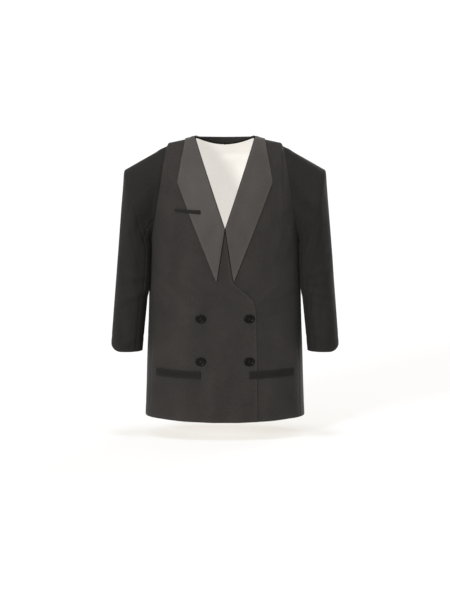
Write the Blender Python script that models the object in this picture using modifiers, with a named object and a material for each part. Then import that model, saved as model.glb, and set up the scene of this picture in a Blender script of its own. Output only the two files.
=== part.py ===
"""Double-breasted blazer, upright and filled out, with open neck, hem and cuffs.

Metres, +Z up, the front faces -Y. Left and right are the wearer's, so the wearer's right is at -X.
The origin is the middle of the neck opening, level with the shoulder seams' inner ends.
"""

import math
from collections import namedtuple

import bpy
import numpy as np

# Cloth
CLOTH = 0.002
LINING = 0.001
SEAM_GAP = 0.0003
LAY_GAP = 0.0007

# Neck and shoulders
NECK_HALF = 0.077
SHOULDER_DROP = 0.016
SHOULDER_HALF = 0.153
NAPE_RISE = 0.010
NECK_DIP = 0.033
PAD_EDGE_DROP = 0.009
PAD_EDGE_START = 0.1475
PAD_EDGE_WIDTH = 0.008
FRONT_RISE = 0.235
FRONT_RISE_POWER = 1.7
BACK_RISE = 0.160
BACK_RISE_POWER = 2.0

# Armhole, an oval in a steep plane
ARMHOLE_TOP = (0.1555, -0.025)
ARMHOLE_BOTTOM = (0.1975, -0.286)

# Front opening
V_BOTTOM = -0.225
LAPEL_TIP = (0.021, -0.366)
LAPEL_CORNER = (0.125, -0.110)
LAPEL_TOP_OUTER = 0.105
LAPEL_TIP_WIDTH = 0.003
LAP_WIDTH = 0.081
LAP_FULL_HEIGHT = -0.430
LAP_FADE = 0.030
LAP_MARGIN = 0.020
LAP_LIFT = CLOTH + 0.0008
LAP_LIFT_START = 0.05
LAP_LIFT_RUN = 0.12
LAP_SIDE_GAP = 0.0004
LAPEL_ROLL = 0.0016
LAPEL_ROLL_RUN = 0.1
LAPEL_ON_RIDGE = 0.05

# Hem and seams
HEM = -0.741
FRONT_SEAM = 0.945
BACK_SEAM = 0.925
FRONT_POWER = 2.3
BACK_POWER = 2.2
SIDE_TURN = math.pi / 2 - 0.001

# Collar
COLLAR_HEIGHT = 0.0165
COLLAR_END_HEIGHT = 0.0042
COLLAR_LEVEL_HALF = 0.066
COLLAR_FALL = 0.025
COLLAR_FOLD = 0.0026
COLLAR_ABOVE_SEAM = 0.0007
COLLAR_SPRING = 0.0010
COLLAR_FALL_SHARES = (0.22, 0.45, 0.7, 1.0)

# Buttons, welt and pockets
BUTTON_RADIUS = 0.014
BUTTON_THICK = 0.0042
BUTTON_SIDE = 0.0633
BUTTON_HEIGHTS = {"upper": -0.4665, "lower": -0.580}
STRIP_THICK = 0.002

Section = namedtuple("Section", "height half_width front back")
BODY = (
    Section(0.000, 0.1975, 0.124, 0.106),
    Section(-0.120, 0.1975, 0.126, 0.111),
    Section(-0.286, 0.1975, 0.128, 0.113),
    Section(-0.404, 0.2005, 0.126, 0.105),
    Section(-0.470, 0.2020, 0.126, 0.102),
    Section(-0.573, 0.2045, 0.129, 0.111),
    Section(-0.660, 0.2065, 0.133, 0.119),
    Section(-0.741, 0.2093, 0.137, 0.126),
)

Ring = namedtuple("Ring", "outer_x outer_z inner_x inner_z half_depth forward")
SLEEVE = (
    Ring(0.1800, -0.0386, 0.1983, -0.2900, 0.0610, 0.000),
    Ring(0.2080, -0.0546, 0.1988, -0.2980, 0.0640, 0.000),
    Ring(0.2360, -0.0708, 0.1994, -0.3070, 0.0665, 0.000),
    Ring(0.2560, -0.0824, 0.1999, -0.3150, 0.0680, 0.001),
    Ring(0.2645, -0.0878, 0.2003, -0.3210, 0.0685, 0.001),
    Ring(0.2672, -0.0980, 0.2007, -0.3280, 0.0690, 0.002),
    Ring(0.2690, -0.1250, 0.2012, -0.3400, 0.0695, 0.002),
    Ring(0.2728, -0.1750, 0.2018, -0.3600, 0.0690, 0.003),
    Ring(0.2774, -0.2350, 0.2024, -0.3850, 0.0670, 0.004),
    Ring(0.2820, -0.2950, 0.2030, -0.4100, 0.0640, 0.006),
    Ring(0.2866, -0.3550, 0.2058, -0.4380, 0.0600, 0.009),
    Ring(0.2912, -0.4150, 0.2088, -0.4680, 0.0560, 0.013),
    Ring(0.2954, -0.4700, 0.2118, -0.4980, 0.0520, 0.018),
    Ring(0.2992, -0.5200, 0.2150, -0.5320, 0.0480, 0.022),
    Ring(0.3022, -0.5630, 0.2178, -0.5630, 0.0450, 0.026),
)
SLEEVE_BLEND_RINGS = 4
SLEEVE_ROUNDNESS = 0.92
ARMHOLE_HALF_DEPTH = 0.060
CUFF_CORNER = 0.026
UPPER_SLEEVE_SPAN = 125
SLEEVE_COLUMNS = {"upper": 12, "under": 6}

# Grids: rows and columns of each panel
UPPER_ROWS = 10
FRONT_COLUMNS = 14
BACK_COLUMNS = 11
STRIP_COLUMNS = 15
LOWER_ROW_STEP = 0.040
LAPEL_ROW_STEP = 0.024
ROW_CROWDING = 1.5
ARMHOLE_SWEEP = 0.62 * math.pi
NECK_COLUMN_SHARE = 0.42

Strip = namedtuple("Strip", "outer_x outer_top outer_bottom inner_x inner_top inner_bottom")
POCKET = Strip(0.1800, -0.6030, -0.6235, 0.0640, -0.6060, -0.6260)
WELT = Strip(0.1325, -0.1780, -0.1860, 0.0637, -0.1800, -0.1910)
POCKET_OVER_EDGE = (0.022, 0.012)
WELT_OVER_LAPEL = (0.010, 0.007)
LINING_EDGES = (0.0025, 0, 0.002, 0.002)

COLOURS = {
    "suiting": (0.041, 0.036, 0.033),
    "sleeve suiting": (0.024, 0.022, 0.020),
    "lapel facing": (0.091, 0.082, 0.074),
    "back lining": (0.80, 0.77, 0.72),
    "button horn": (0.010, 0.009, 0.009),
}


def clear_scene():
    for obj in list(bpy.data.objects):
        bpy.data.objects.remove(obj, do_unlink=True)


def smoothstep(value):
    value = np.clip(value, 0.0, 1.0)
    return value * value * (3 - 2 * value)


def from_table(rows, name, height):
    """The named column at any height, on a smooth curve through the table's rows."""
    heights = np.array([row.height for row in rows])[::-1]
    values = np.array([getattr(row, name) for row in rows])[::-1]
    slopes = np.gradient(values, heights)
    height = np.clip(height, heights[0], heights[-1])
    k = np.clip(np.searchsorted(heights, height, side="right") - 1, 0, len(heights) - 2)
    span = heights[k + 1] - heights[k]
    t = (height - heights[k]) / span
    return (
        (2 * t**3 - 3 * t**2 + 1) * values[k]
        + (t**3 - 2 * t**2 + t) * span * slopes[k]
        + (3 * t**2 - 2 * t**3) * values[k + 1]
        + (t**3 - t**2) * span * slopes[k + 1]
    )


def unit(vectors):
    return vectors / np.maximum(np.linalg.norm(vectors, axis=-1, keepdims=True), 1e-12)


def ridge(x, back):
    """Height of the shoulder line at x: level at the neck, then sloped, then turned down at the pad's edge."""
    x = np.abs(x)
    slope = SHOULDER_DROP / (SHOULDER_HALF - NECK_HALF)
    height = -slope * np.maximum(x - NECK_HALF, 0.0)
    height = height - PAD_EDGE_DROP * smoothstep((x - PAD_EDGE_START) / PAD_EDGE_WIDTH)
    nape = NAPE_RISE * np.maximum(1 - (x / NECK_HALF) ** 2, 0.0)
    return height + np.where(back, nape, 0.0)


def turn_at(x, back):
    """How far round the body, in radians from the middle, the chest ring reaches the half width x."""
    power = BACK_POWER if back else FRONT_POWER
    share = np.clip(np.abs(x) / BODY[0].half_width, 0.0, 1.0)
    return np.sign(x) * np.arcsin(share ** (power / 2))


def form(turn, height, back):
    """Outer face of the body: a superellipse ring at each height, drawn in to the shoulder line at the top."""
    power = BACK_POWER if back else FRONT_POWER
    sine, cosine = np.sin(turn), np.cos(turn)
    x = from_table(BODY, "half_width", height) * np.sign(sine) * np.abs(sine) ** (2 / power)
    depth = from_table(BODY, "back" if back else "front", height) * np.abs(cosine) ** (2 / power)
    rise, curve = (BACK_RISE, BACK_RISE_POWER) if back else (FRONT_RISE, FRONT_RISE_POWER)
    below = np.clip((ridge(x, back) - height) / rise, 0.0, 1.0)
    share = (1 - (1 - below) ** curve) ** (1 / curve)
    return np.stack([x, depth * share * (1 if back else -1), height + 0 * x], axis=-1)


def form_normal(turn, height, back):
    """Outward normal of the body's outer face. On the shoulder ridge it points up, leaning a little outwards."""
    step = 1e-6
    turn = np.clip(turn, -SIDE_TURN, SIDE_TURN)
    across = form(turn + step, height, back) - form(turn - step, height, back)
    up = form(turn, height + step, back) - form(turn, height - step, back)
    normal = unit(np.cross(up, across))
    facing = np.where(np.sum(normal * form(turn, height, back) * (1, 1, 0), axis=-1) < 0, -1, 1)
    normal = normal * facing[..., None]
    on_ridge_depth, side_margin, ridge_lean = 1e-5, 0.01, 0.2
    top = np.abs(form(turn, height, back)[..., 1]) < on_ridge_depth
    top = top & (height > ARMHOLE_BOTTOM[1] + side_margin)
    lean = np.stack([ridge_lean * np.sign(turn), 0 * turn, 0 * turn + 1], axis=-1)
    return np.where(top[..., None], unit(lean), normal)


def lifted(turn, height, back, lift):
    return form(turn, height, back) + form_normal(turn, height, back) * np.asarray(lift)[..., None]


def lap_shift(x, height):
    """How far the right front stands out so that it clears the left front under it."""
    across = smoothstep((x + LAP_WIDTH + LAP_MARGIN + LAP_FADE) / LAP_FADE)
    return LAP_LIFT * across * smoothstep((-height - LAP_LIFT_START) / LAP_LIFT_RUN)


EdgePoint = namedtuple("EdgePoint", "height half_width")
FRONT_EDGE = (
    EdgePoint(0.0, NECK_HALF),
    EdgePoint(V_BOTTOM, LAP_SIDE_GAP),
    EdgePoint(LAPEL_TIP[1] - 0.004, LAP_SIDE_GAP - LAPEL_TIP[0]),
    EdgePoint(-0.392, -0.044),
    EdgePoint(-0.410, -0.066),
    EdgePoint(LAP_FULL_HEIGHT, -LAP_WIDTH + 0.003),
    EdgePoint(-0.466, -LAP_WIDTH),
    EdgePoint(HEM, -LAP_WIDTH),
)


def front_edge(height):
    """Half width where a front's edge runs: down the V, past the lapel's tip and out to the lap.

    A negative half width is past the middle.
    """
    heights, halves = zip(*FRONT_EDGE[::-1])
    return np.interp(height, heights, halves)


def armhole(share):
    """A point of the armhole's plane: 0 is the shoulder, 1 the underarm."""
    top, bottom = np.array(ARMHOLE_TOP), np.array(ARMHOLE_BOTTOM)
    return top[0] + (bottom[0] - top[0]) * share, top[1] + (bottom[1] - top[1]) * share


def armhole_share(x):
    return (np.asarray(x) - ARMHOLE_TOP[0]) / (ARMHOLE_BOTTOM[0] - ARMHOLE_TOP[0])


def rows_between(stops, step):
    """Heights from stop to stop, each stretch cut into equal rows of about one step."""
    found = [stops[0]]
    for high, low in zip(stops[:-1], stops[1:]):
        count = max(1, round((high - low) / step))
        found += [high + (low - high) * (k + 1) / count for k in range(count)]
    return np.array(found)


def panel_grid(back, columns):
    """Turn and height of each point of a front or back panel at +X, in rows from the shoulder to the hem."""
    seam_share = BACK_SEAM if back else FRONT_SEAM
    seam_x = seam_share * BODY[0].half_width
    seam_turn = turn_at(seam_x, back)
    join = float(armhole_share(seam_x))
    join_height = armhole(join)[1]
    run = np.linspace(0, 1, UPPER_ROWS)[:, None]
    upper_share = run**ROW_CROWDING
    outer_share = join * (1 - np.cos(run * ARMHOLE_SWEEP)) / (1 - math.cos(ARMHOLE_SWEEP))
    outer_x, outer_height = armhole(outer_share)
    even = np.linspace(0, 1, columns)[None, :]
    if back:
        inner_height = join_height * upper_share
        inner_turn = 0 * run
        neck_column = round((columns - 1) * NECK_COLUMN_SHARE)
        neck_share = float(turn_at(NECK_HALF, back) / turn_at(ARMHOLE_TOP[0], back))
        spread = np.interp(np.arange(columns), (0, neck_column, columns - 1), (0, neck_share, 1))
        column = spread[None, :] * (1 - upper_share) + even * upper_share
    else:
        inner_height = V_BOTTOM * upper_share
        inner_turn = turn_at(front_edge(inner_height), back)
        column = even
    outer_turn = turn_at(outer_x, back)
    turn = inner_turn + (outer_turn - inner_turn) * column
    x = form(turn, 0 * turn, back)[..., 0]
    straight = inner_height + (outer_height - inner_height) * column
    inner_fall = -inner_height
    outer_fall = ridge(outer_x, back) - outer_height
    under = inner_fall + (outer_fall - inner_fall) * column
    if back:
        under = under + NECK_DIP * np.maximum(1 - (x / NECK_HALF) ** 2, 0.0) * (1 - upper_share)
    along_ridge = ridge(x, back) - under
    upper = along_ridge + (straight - along_ridge) * smoothstep(run)

    chest = BODY[2].height
    if back:
        start = join_height
        stops = (start, chest, LAP_FULL_HEIGHT, HEM)
    else:
        start = V_BOTTOM
        stops = (start, chest) + tuple(point.height for point in FRONT_EDGE[2:])
    inner_lower = rows_between(stops, LOWER_ROW_STEP)[1:, None]
    settle = np.clip((start - inner_lower) / (start - chest), 0, 1)
    outer_lower = inner_lower + (join_height - start) * (1 - settle)
    inner_lower_turn = 0 * inner_lower if back else turn_at(front_edge(inner_lower), back)
    lower = inner_lower + (outer_lower - inner_lower) * even
    lower_turn = inner_lower_turn + (seam_turn - inner_lower_turn) * even
    return np.vstack([turn, lower_turn]), np.vstack([upper, lower])


def side_grid():
    """Turn, height and facing of the side panel under the arm, from the front seam round to the back seam.

    The first row follows the armhole, and the rows under it settle to level ones.
    """
    chest = BODY[2].height
    below_armhole, follow = 0.012, 0.6
    front_x = np.linspace(FRONT_SEAM, 1, 4)[:-1] * BODY[0].half_width
    back_x = np.linspace(1, BACK_SEAM, 4) * BODY[0].half_width
    level = rows_between((chest - below_armhole, LAP_FULL_HEIGHT, HEM), LOWER_ROW_STEP)[:, None]
    settle = np.clip((level - LAP_FULL_HEIGHT) / (level[0] - LAP_FULL_HEIGHT), 0, 1)
    grids = []
    for x, back in ((front_x, False), (back_x, True)):
        top = armhole(armhole_share(x))[1]
        height = np.vstack([top, level + (top - chest) * settle * follow])
        grids.append((turn_at(x, back) + 0 * height, height, back))
    return grids


def drawn_in(points, amounts):
    """Moves each edge of the grid towards its neighbour row or column, to leave half a seam's gap there."""
    top, bottom, first, last = amounts
    moved = points.copy()
    moved[0] += unit(points[1] - points[0]) * top
    moved[-1] += unit(points[-2] - points[-1]) * bottom
    moved[:, 0] += unit(points[:, 1] - points[:, 0]) * first
    moved[:, -1] += unit(points[:, -2] - points[:, -1]) * last
    return moved


def add_object(name, points, faces, collection, material):
    mesh = bpy.data.meshes.new(name)
    mesh.from_pydata([tuple(point) for point in points.tolist()], [], faces)
    mesh.materials.append(material)
    mesh.shade_smooth()
    mesh.set_sharp_from_angle(angle=math.radians(40))
    obj = bpy.data.objects.new(name, mesh)
    collection.objects.link(obj)
    return obj


def wall(name, outer, inner, collection, material):
    """A closed cloth wall: the outer and the inner grid, joined round the free edges."""
    rows, columns = outer.shape[:2]
    points = np.concatenate([outer.reshape(-1, 3), inner.reshape(-1, 3)])
    index = np.arange(rows * columns).reshape(rows, columns)
    beyond = rows * columns
    faces = []
    for i in range(rows - 1):
        for j in range(columns - 1):
            a, b, c, d = index[i, j], index[i + 1, j], index[i + 1, j + 1], index[i, j + 1]
            faces.append((a, b, c, d))
            faces.append((a + beyond, d + beyond, c + beyond, b + beyond))
    for line in (index[0, :], index[-1, ::-1], index[::-1, 0], index[:, -1]):
        for a, b in zip(line[:-1], line[1:]):
            faces.append((a, b, b + beyond, a + beyond))
    faces = [tuple(int(corner) for corner in face) for face in faces]
    corners = points[np.array(faces)]
    middle = corners.mean(axis=1)
    normal = np.cross(corners[:, 2] - corners[:, 0], corners[:, 3] - corners[:, 1])
    if np.sum(middle * normal) < 0:
        faces = [face[::-1] for face in faces]
    return add_object(name, points, faces, collection, material)


def form_wall(name, turn, height, back, side, lift, thick, edges, collection, material, over=False):
    """A wall on the body's form, its outer face at the lift. Side -1 turns the same grid to -X."""
    turn = turn * side
    x = form(turn, height, back)[..., 0]
    lift = lift + (lap_shift(x, height) if over else 0 * x)
    normal = form_normal(turn, height, back)
    outer = drawn_in(form(turn, height, back) + normal * lift[..., None], edges)
    return wall(name, outer, outer - normal * thick, collection, material)


def add_fronts(collection, material):
    half = SEAM_GAP / 2
    for name, side in (("front_left", 1), ("front_right", -1)):
        turn, height = panel_grid(False, FRONT_COLUMNS)
        form_wall(name, turn, height, False, side, 0.0, CLOTH, (half, 0, 0, half), collection, material, side < 0)


def add_backs(collection, material):
    half = SEAM_GAP / 2
    for name, side in (("back_left", 1), ("back_right", -1)):
        turn, height = panel_grid(True, BACK_COLUMNS)
        form_wall(name, turn, height, True, side, 0.0, CLOTH, (half, 0, half, half), collection, material)


def add_side_panels(collection, material):
    half = SEAM_GAP / 2
    for name, side in (("side_left", 1), ("side_right", -1)):
        outers, normals = [], []
        for turn, height, back in side_grid():
            outers.append(form(turn * side, height, back))
            normals.append(form_normal(turn * side, height, back))
        outer = drawn_in(np.hstack(outers), (half, 0, half, half))
        wall(name, outer, outer - np.hstack(normals) * CLOTH, collection, material)


def add_back_lining(collection, material):
    """One lining for both backs, from the neck seam to the last row above the hem."""
    turn, height = panel_grid(True, BACK_COLUMNS)
    turn = np.delete(np.hstack([-turn[:, :0:-1], turn]), (1, -1), axis=0)
    height = np.delete(np.hstack([height[:, :0:-1], height]), (1, -1), axis=0)
    lift = -CLOTH - LAY_GAP + 0 * turn
    form_wall("back_lining", turn, height, True, 1, lift, LINING, LINING_EDGES, collection, material)


def add_lapels(collection, material):
    heights = rows_between((0.0, LAPEL_CORNER[1], V_BOTTOM, LAPEL_TIP[1]), LAPEL_ROW_STEP)
    over_ridge = (0.0, -0.004, -0.012)
    heights = np.concatenate([over_ridge, heights[heights < -LAPEL_ROW_STEP / 2]])
    inner = np.interp(
        heights,
        (LAPEL_TIP[1], V_BOTTOM, 0.0),
        (LAPEL_TIP[0] + LAP_SIDE_GAP, LAP_SIDE_GAP, NECK_HALF),
    )
    outer = np.interp(
        heights,
        (LAPEL_TIP[1], LAPEL_CORNER[1], 0.0),
        (LAPEL_TIP[0] + LAPEL_TIP_WIDTH, LAPEL_CORNER[0], LAPEL_TOP_OUTER),
    )
    column = np.linspace(0, 1, 8)[None, :]
    x = inner[:, None] + (outer - inner)[:, None] * column
    on_ridge = np.clip(1 + heights / LAPEL_ON_RIDGE, 0, 1)[:, None]
    height = heights[:, None] + ridge(x, False) * on_ridge
    turn = turn_at(x, False)
    above_tip = np.clip((heights[:, None] - LAPEL_TIP[1]) / LAPEL_ROLL_RUN, 0, 1)
    roll = LAPEL_ROLL * (1 - column) ** 3 * above_tip
    for name, side in (("lapel_left", 1), ("lapel_right", -1)):
        lift = CLOTH + LAY_GAP + roll
        edges = (SEAM_GAP / 2, 0, 0, 0)
        form_wall(name, turn, height, False, side, lift, CLOTH, edges, collection, material, side < 0)


def add_collar(collection, material):
    """Back collar round the nape: its stand rises from the neck seam, folds over and falls on the back."""
    angle = np.radians(np.linspace(-90, 90, 23))
    neck_x = NECK_HALF * np.sin(angle)
    cosine = np.cos(angle)
    neck_height = ridge(neck_x, True) - NECK_DIP * cosine**2
    neck = form(turn_at(neck_x, True), neck_height, True)
    edge_x = LAPEL_TOP_OUTER * np.sin(angle)
    edge_drop = (NECK_DIP + COLLAR_FALL) * cosine**2
    arch = np.clip(1 - (neck_x / COLLAR_LEVEL_HALF) ** 2, 0, 1)
    tall = COLLAR_END_HEIGHT + (COLLAR_HEIGHT - COLLAR_END_HEIGHT) * arch
    out = unit(np.stack([np.sin(angle), cosine, 0 * angle], axis=-1))
    up = np.array([0.0, 0.0, 1.0])
    low = COLLAR_ABOVE_SEAM

    def leaf(sideways, share, lower=0.0):
        """A line round the neck, so far out from the seam and up the stand."""
        return neck + out * sideways + up * (low + (tall - low) * share - lower)[:, None]

    middle = [
        leaf(-CLOTH / 2, 0.0),
        leaf(-CLOTH / 2, 0.5, COLLAR_FOLD / 2),
        leaf(-CLOTH / 2, 1.0, COLLAR_FOLD),
        leaf(COLLAR_FOLD * 0.35, 1.0, CLOTH / 2),
        leaf(COLLAR_FOLD * 1.1, 1.0, COLLAR_FOLD * 0.9),
    ]
    settling = 2.2
    for share in COLLAR_FALL_SHARES:
        x = neck_x + (edge_x - neck_x) * share
        drop = NECK_DIP * cosine**2 * (1 - share) + edge_drop * share
        turn, height = turn_at(x, True), ridge(x, True) - drop
        lift = CLOTH / 2 + LAY_GAP + COLLAR_SPRING * (1 - share)
        point = lifted(turn, height, True, lift + 0 * x)
        raise_by = (tall - COLLAR_FOLD * 0.9) * (1 - share) ** settling
        middle.append(point + up * raise_by[:, None])
    middle = np.stack(middle)
    along = np.gradient(middle, axis=0)
    round_neck = np.gradient(middle, axis=1)
    normal = unit(np.cross(round_neck, along))
    normal[:, 0] = unit(normal[:, 0] * (1, 0, 1))
    normal[:, -1] = unit(normal[:, -1] * (1, 0, 1))
    middle[:, 0, 1] = SEAM_GAP / 2
    middle[:, -1, 1] = SEAM_GAP / 2
    half = CLOTH / 2
    wall("collar", middle + normal * half, middle - normal * half, collection, material)


def sleeve_grid(side):
    """Outer and inner face of a whole sleeve: the armhole's oval, then the table's rings."""
    under_gap, under_from, under_run = 0.0004, 0.55, 0.3
    turn_from, turn_run = 0.62, 0.25
    span = UPPER_SLEEVE_SPAN
    upper = np.linspace(-span, span, SLEEVE_COLUMNS["upper"] + 1)
    under = np.linspace(span, 360 - span, SLEEVE_COLUMNS["under"] + 1)
    angle = np.radians(np.concatenate([upper, under[1:-1]]))
    share = (1 - np.cos(angle)) / 2
    hole_x, hole_z = armhole(share)
    hole_x = np.minimum(hole_x, ARMHOLE_BOTTOM[0] - 1e-6)
    front_hole = form(turn_at(hole_x, False), hole_z, False)
    back_hole = form(turn_at(hole_x, True), hole_z, True)
    at_front = (np.sin(angle) >= 0)[:, None]
    hole = np.where(at_front, front_hole, back_hole)
    hole_normal = np.where(
        at_front,
        form_normal(turn_at(hole_x, False), hole_z, False),
        form_normal(turn_at(hole_x, True), hole_z, True),
    )
    plane = np.subtract(ARMHOLE_BOTTOM, ARMHOLE_TOP)
    outwards = unit(np.array([-plane[1], 0.0, plane[0]]))
    gap = SEAM_GAP + under_gap * smoothstep((share - under_from) / under_run)
    rings = [hole + outwards * gap[:, None]]
    for number, ring in enumerate(SLEEVE, start=1):
        blend = smoothstep(number / SLEEVE_BLEND_RINGS)
        across = (1 + np.cos(angle)) / 2
        x = ring.inner_x + (ring.outer_x - ring.inner_x) * across
        z = ring.inner_z + (ring.outer_z - ring.inner_z) * across
        from_hole = hole[:, 1] * ring.half_depth / ARMHOLE_HALF_DEPTH
        swing = np.sign(np.sin(angle)) * np.abs(np.sin(angle)) ** SLEEVE_ROUNDNESS
        from_ring = -ring.forward - ring.half_depth * swing
        y = from_hole * (1 - blend) + from_ring * blend
        rings.append(np.stack([x, y, z], axis=-1))
    corner = np.maximum(rings[-1][:, 0] - (SLEEVE[-1].outer_x - CUFF_CORNER), 0)
    rings[-1][:, 2] += CUFF_CORNER - np.sqrt(np.maximum(CUFF_CORNER**2 - corner**2, (CUFF_CORNER / 4) ** 2))
    outer = np.stack(rings)
    down = np.gradient(outer, axis=0)
    around = (np.roll(outer, -1, axis=1) - np.roll(outer, 1, axis=1)) / 2
    normal = unit(np.cross(around, down))
    turned = smoothstep((share - turn_from) / turn_run)[:, None]
    normal[0] = unit(hole_normal * (1 - turned) + normal[0] * turned)
    inner = outer - normal * CLOTH
    mirror = np.array([side, 1, 1])
    return outer * mirror, inner * mirror


def add_sleeves(collection, material):
    half = SEAM_GAP / 2
    seam = SLEEVE_COLUMNS["upper"]
    for side, word in ((1, "left"), (-1, "right")):
        outer, inner = sleeve_grid(side)
        columns = np.arange(outer.shape[1])
        spans = {
            "upper": columns[: seam + 1],
            "under": np.append(columns[seam:], 0),
        }
        for piece, span in spans.items():
            faces = [drawn_in(grid[:, span], (0, 0, half, half)) for grid in (outer, inner)]
            wall(f"{piece}_sleeve_{word}", *faces, collection, material)


def strip_grid(strip, columns, rows):
    column = np.linspace(0, 1, columns)[None, :]
    row = np.linspace(0, 1, rows)[:, None]
    x = strip.inner_x + (strip.outer_x - strip.inner_x) * column + 0 * row
    top = strip.inner_top + (strip.outer_top - strip.inner_top) * column
    bottom = strip.inner_bottom + (strip.outer_bottom - strip.inner_bottom) * column
    height = top + (bottom - top) * row
    return x, height


def turn_on(x, height):
    """Turn whose ring point at this height has the half width x, on the front."""
    share = np.clip(np.abs(x) / from_table(BODY, "half_width", height), 0.0, 1.0)
    return np.sign(x) * np.arcsin(share ** (FRONT_POWER / 2))


def add_pockets(collection, material):
    """A strip on each front. The left one's inner end lies over the edge of the right front."""
    x, height = strip_grid(POCKET, STRIP_COLUMNS, 3)
    turn = turn_on(x, height)
    reach, run = POCKET_OVER_EDGE
    over_edge = smoothstep((LAP_WIDTH + reach - x) / run)
    for name, side in (("pocket_left", 1), ("pocket_right", -1)):
        lift = STRIP_THICK + LAY_GAP + (LAP_LIFT * over_edge if side > 0 else 0 * x)
        form_wall(name, turn, height, False, side, lift, STRIP_THICK, (0,) * 4, collection, material, side < 0)


def add_welt(collection, material):
    """A welt on the right front, whose inner end lies over the edge of the lapel."""
    x, height = strip_grid(WELT, STRIP_COLUMNS, 3)
    turn = turn_on(x, height)
    lapel_outer = np.interp(
        height, (LAPEL_TIP[1], LAPEL_CORNER[1]), (LAPEL_TIP[0] + LAPEL_TIP_WIDTH, LAPEL_CORNER[0])
    )
    reach, run = WELT_OVER_LAPEL
    on_lapel = smoothstep((lapel_outer + reach - x) / run)
    lift = STRIP_THICK + LAY_GAP + (CLOTH + LAY_GAP) * on_lapel
    form_wall("breast_welt", turn, height, False, -1, lift, STRIP_THICK, (0,) * 4, collection, material, True)


def add_buttons(collection, material):
    """Turned buttons with a raised rim, set on the right front square to its surface."""
    radius, thick = BUTTON_RADIUS, BUTTON_THICK
    profile = (
        (0.0, thick * 0.68),
        (radius * 0.58, thick * 0.68),
        (radius * 0.70, thick * 0.95),
        (radius * 0.86, thick),
        (radius, thick * 0.55),
        (radius * 0.93, thick * 0.12),
        (radius * 0.70, 0.0),
        (0.0, 0.0),
    )
    mesh = bpy.data.meshes.new("button")
    edges = [(k, k + 1) for k in range(len(profile) - 1)]
    mesh.from_pydata([(r, 0.0, z) for r, z in profile], edges, [])
    mesh.materials.append(material)
    for level, height in BUTTON_HEIGHTS.items():
        for side, word in ((-1, "right"), (1, "left")):
            x = np.array([BUTTON_SIDE * side])
            tall = np.array([height])
            turn = turn_on(x, tall)
            lift = lap_shift(x, tall) + LAY_GAP
            place = lifted(turn, tall, False, lift)[0]
            normal = form_normal(turn, tall, False)[0]
            obj = bpy.data.objects.new(f"button_{level}_{word}", mesh)
            collection.objects.link(obj)
            obj.location = place
            obj.rotation_euler = (
                math.atan2(math.hypot(normal[0], normal[1]), normal[2]),
                0.0,
                math.atan2(normal[1], normal[0]) + math.pi / 2,
            )
            screw = obj.modifiers.new("turned", "SCREW")
            screw.steps = 16
            screw.render_steps = 16
            screw.use_merge_vertices = True
            screw.merge_threshold = 0.00005
            screw.use_smooth_shade = True


def cloth_material(name, colour, roughness):
    material = bpy.data.materials.new(name)
    material.use_nodes = True
    shader = material.node_tree.nodes["Principled BSDF"]
    shader.inputs["Base Color"].default_value = (*colour, 1.0)
    shader.inputs["Roughness"].default_value = roughness
    shader.inputs["Metallic"].default_value = 0.0
    return material


def main():
    clear_scene()
    collection = bpy.data.collections.new("double_breasted_blazer")
    bpy.context.scene.collection.children.link(collection)
    suiting = cloth_material("suiting", COLOURS["suiting"], 0.85)
    sleeve = cloth_material("sleeve suiting", COLOURS["sleeve suiting"], 0.85)
    facing = cloth_material("lapel facing", COLOURS["lapel facing"], 0.6)
    lining = cloth_material("back lining", COLOURS["back lining"], 0.5)
    horn = cloth_material("button horn", COLOURS["button horn"], 0.35)
    add_fronts(collection, suiting)
    add_side_panels(collection, suiting)
    add_backs(collection, suiting)
    add_back_lining(collection, lining)
    add_sleeves(collection, sleeve)
    add_collar(collection, suiting)
    add_lapels(collection, facing)
    add_welt(collection, sleeve)
    add_pockets(collection, sleeve)
    add_buttons(collection, horn)


main()
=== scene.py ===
import math
from collections import namedtuple

import bmesh
import bpy
import numpy as np
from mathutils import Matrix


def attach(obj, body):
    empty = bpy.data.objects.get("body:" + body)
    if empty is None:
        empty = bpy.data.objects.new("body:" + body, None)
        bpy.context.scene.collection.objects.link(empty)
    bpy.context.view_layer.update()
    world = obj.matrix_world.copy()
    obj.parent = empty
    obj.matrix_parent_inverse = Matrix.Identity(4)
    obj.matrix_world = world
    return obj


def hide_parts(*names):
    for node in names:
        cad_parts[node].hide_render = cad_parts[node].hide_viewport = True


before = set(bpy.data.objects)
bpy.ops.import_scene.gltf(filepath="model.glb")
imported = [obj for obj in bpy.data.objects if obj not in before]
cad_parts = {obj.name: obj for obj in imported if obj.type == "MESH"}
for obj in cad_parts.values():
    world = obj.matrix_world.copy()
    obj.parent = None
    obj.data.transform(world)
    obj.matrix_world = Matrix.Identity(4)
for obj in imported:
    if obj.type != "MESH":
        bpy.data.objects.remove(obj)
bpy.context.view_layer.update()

print("blazer: frame loaded")

# Metres, +Z up, the front faces -Y. Left and right are the wearer's, so the wearer's right is at -X.
sides = ((1, "left"), (-1, "right"))

cloth = {
    "thick": 0.002,
    "liningThick": 0.001,
    "seamGap": 0.0003,
    "layGap": 0.0007,
    "rimReach": 0.0005,     # how far a rounded edge stands out from its grid
    "seamReach": 0.0002,    # a sewn edge stops this far short, so that the two rounded edges press together
    "seamDip": 0.0013,      # a seam pulls the cloth in
    "seamDipWidth": 0.0032,
    "edgeWear": 0.007,      # width of the rubbed band along a free edge
}

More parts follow.
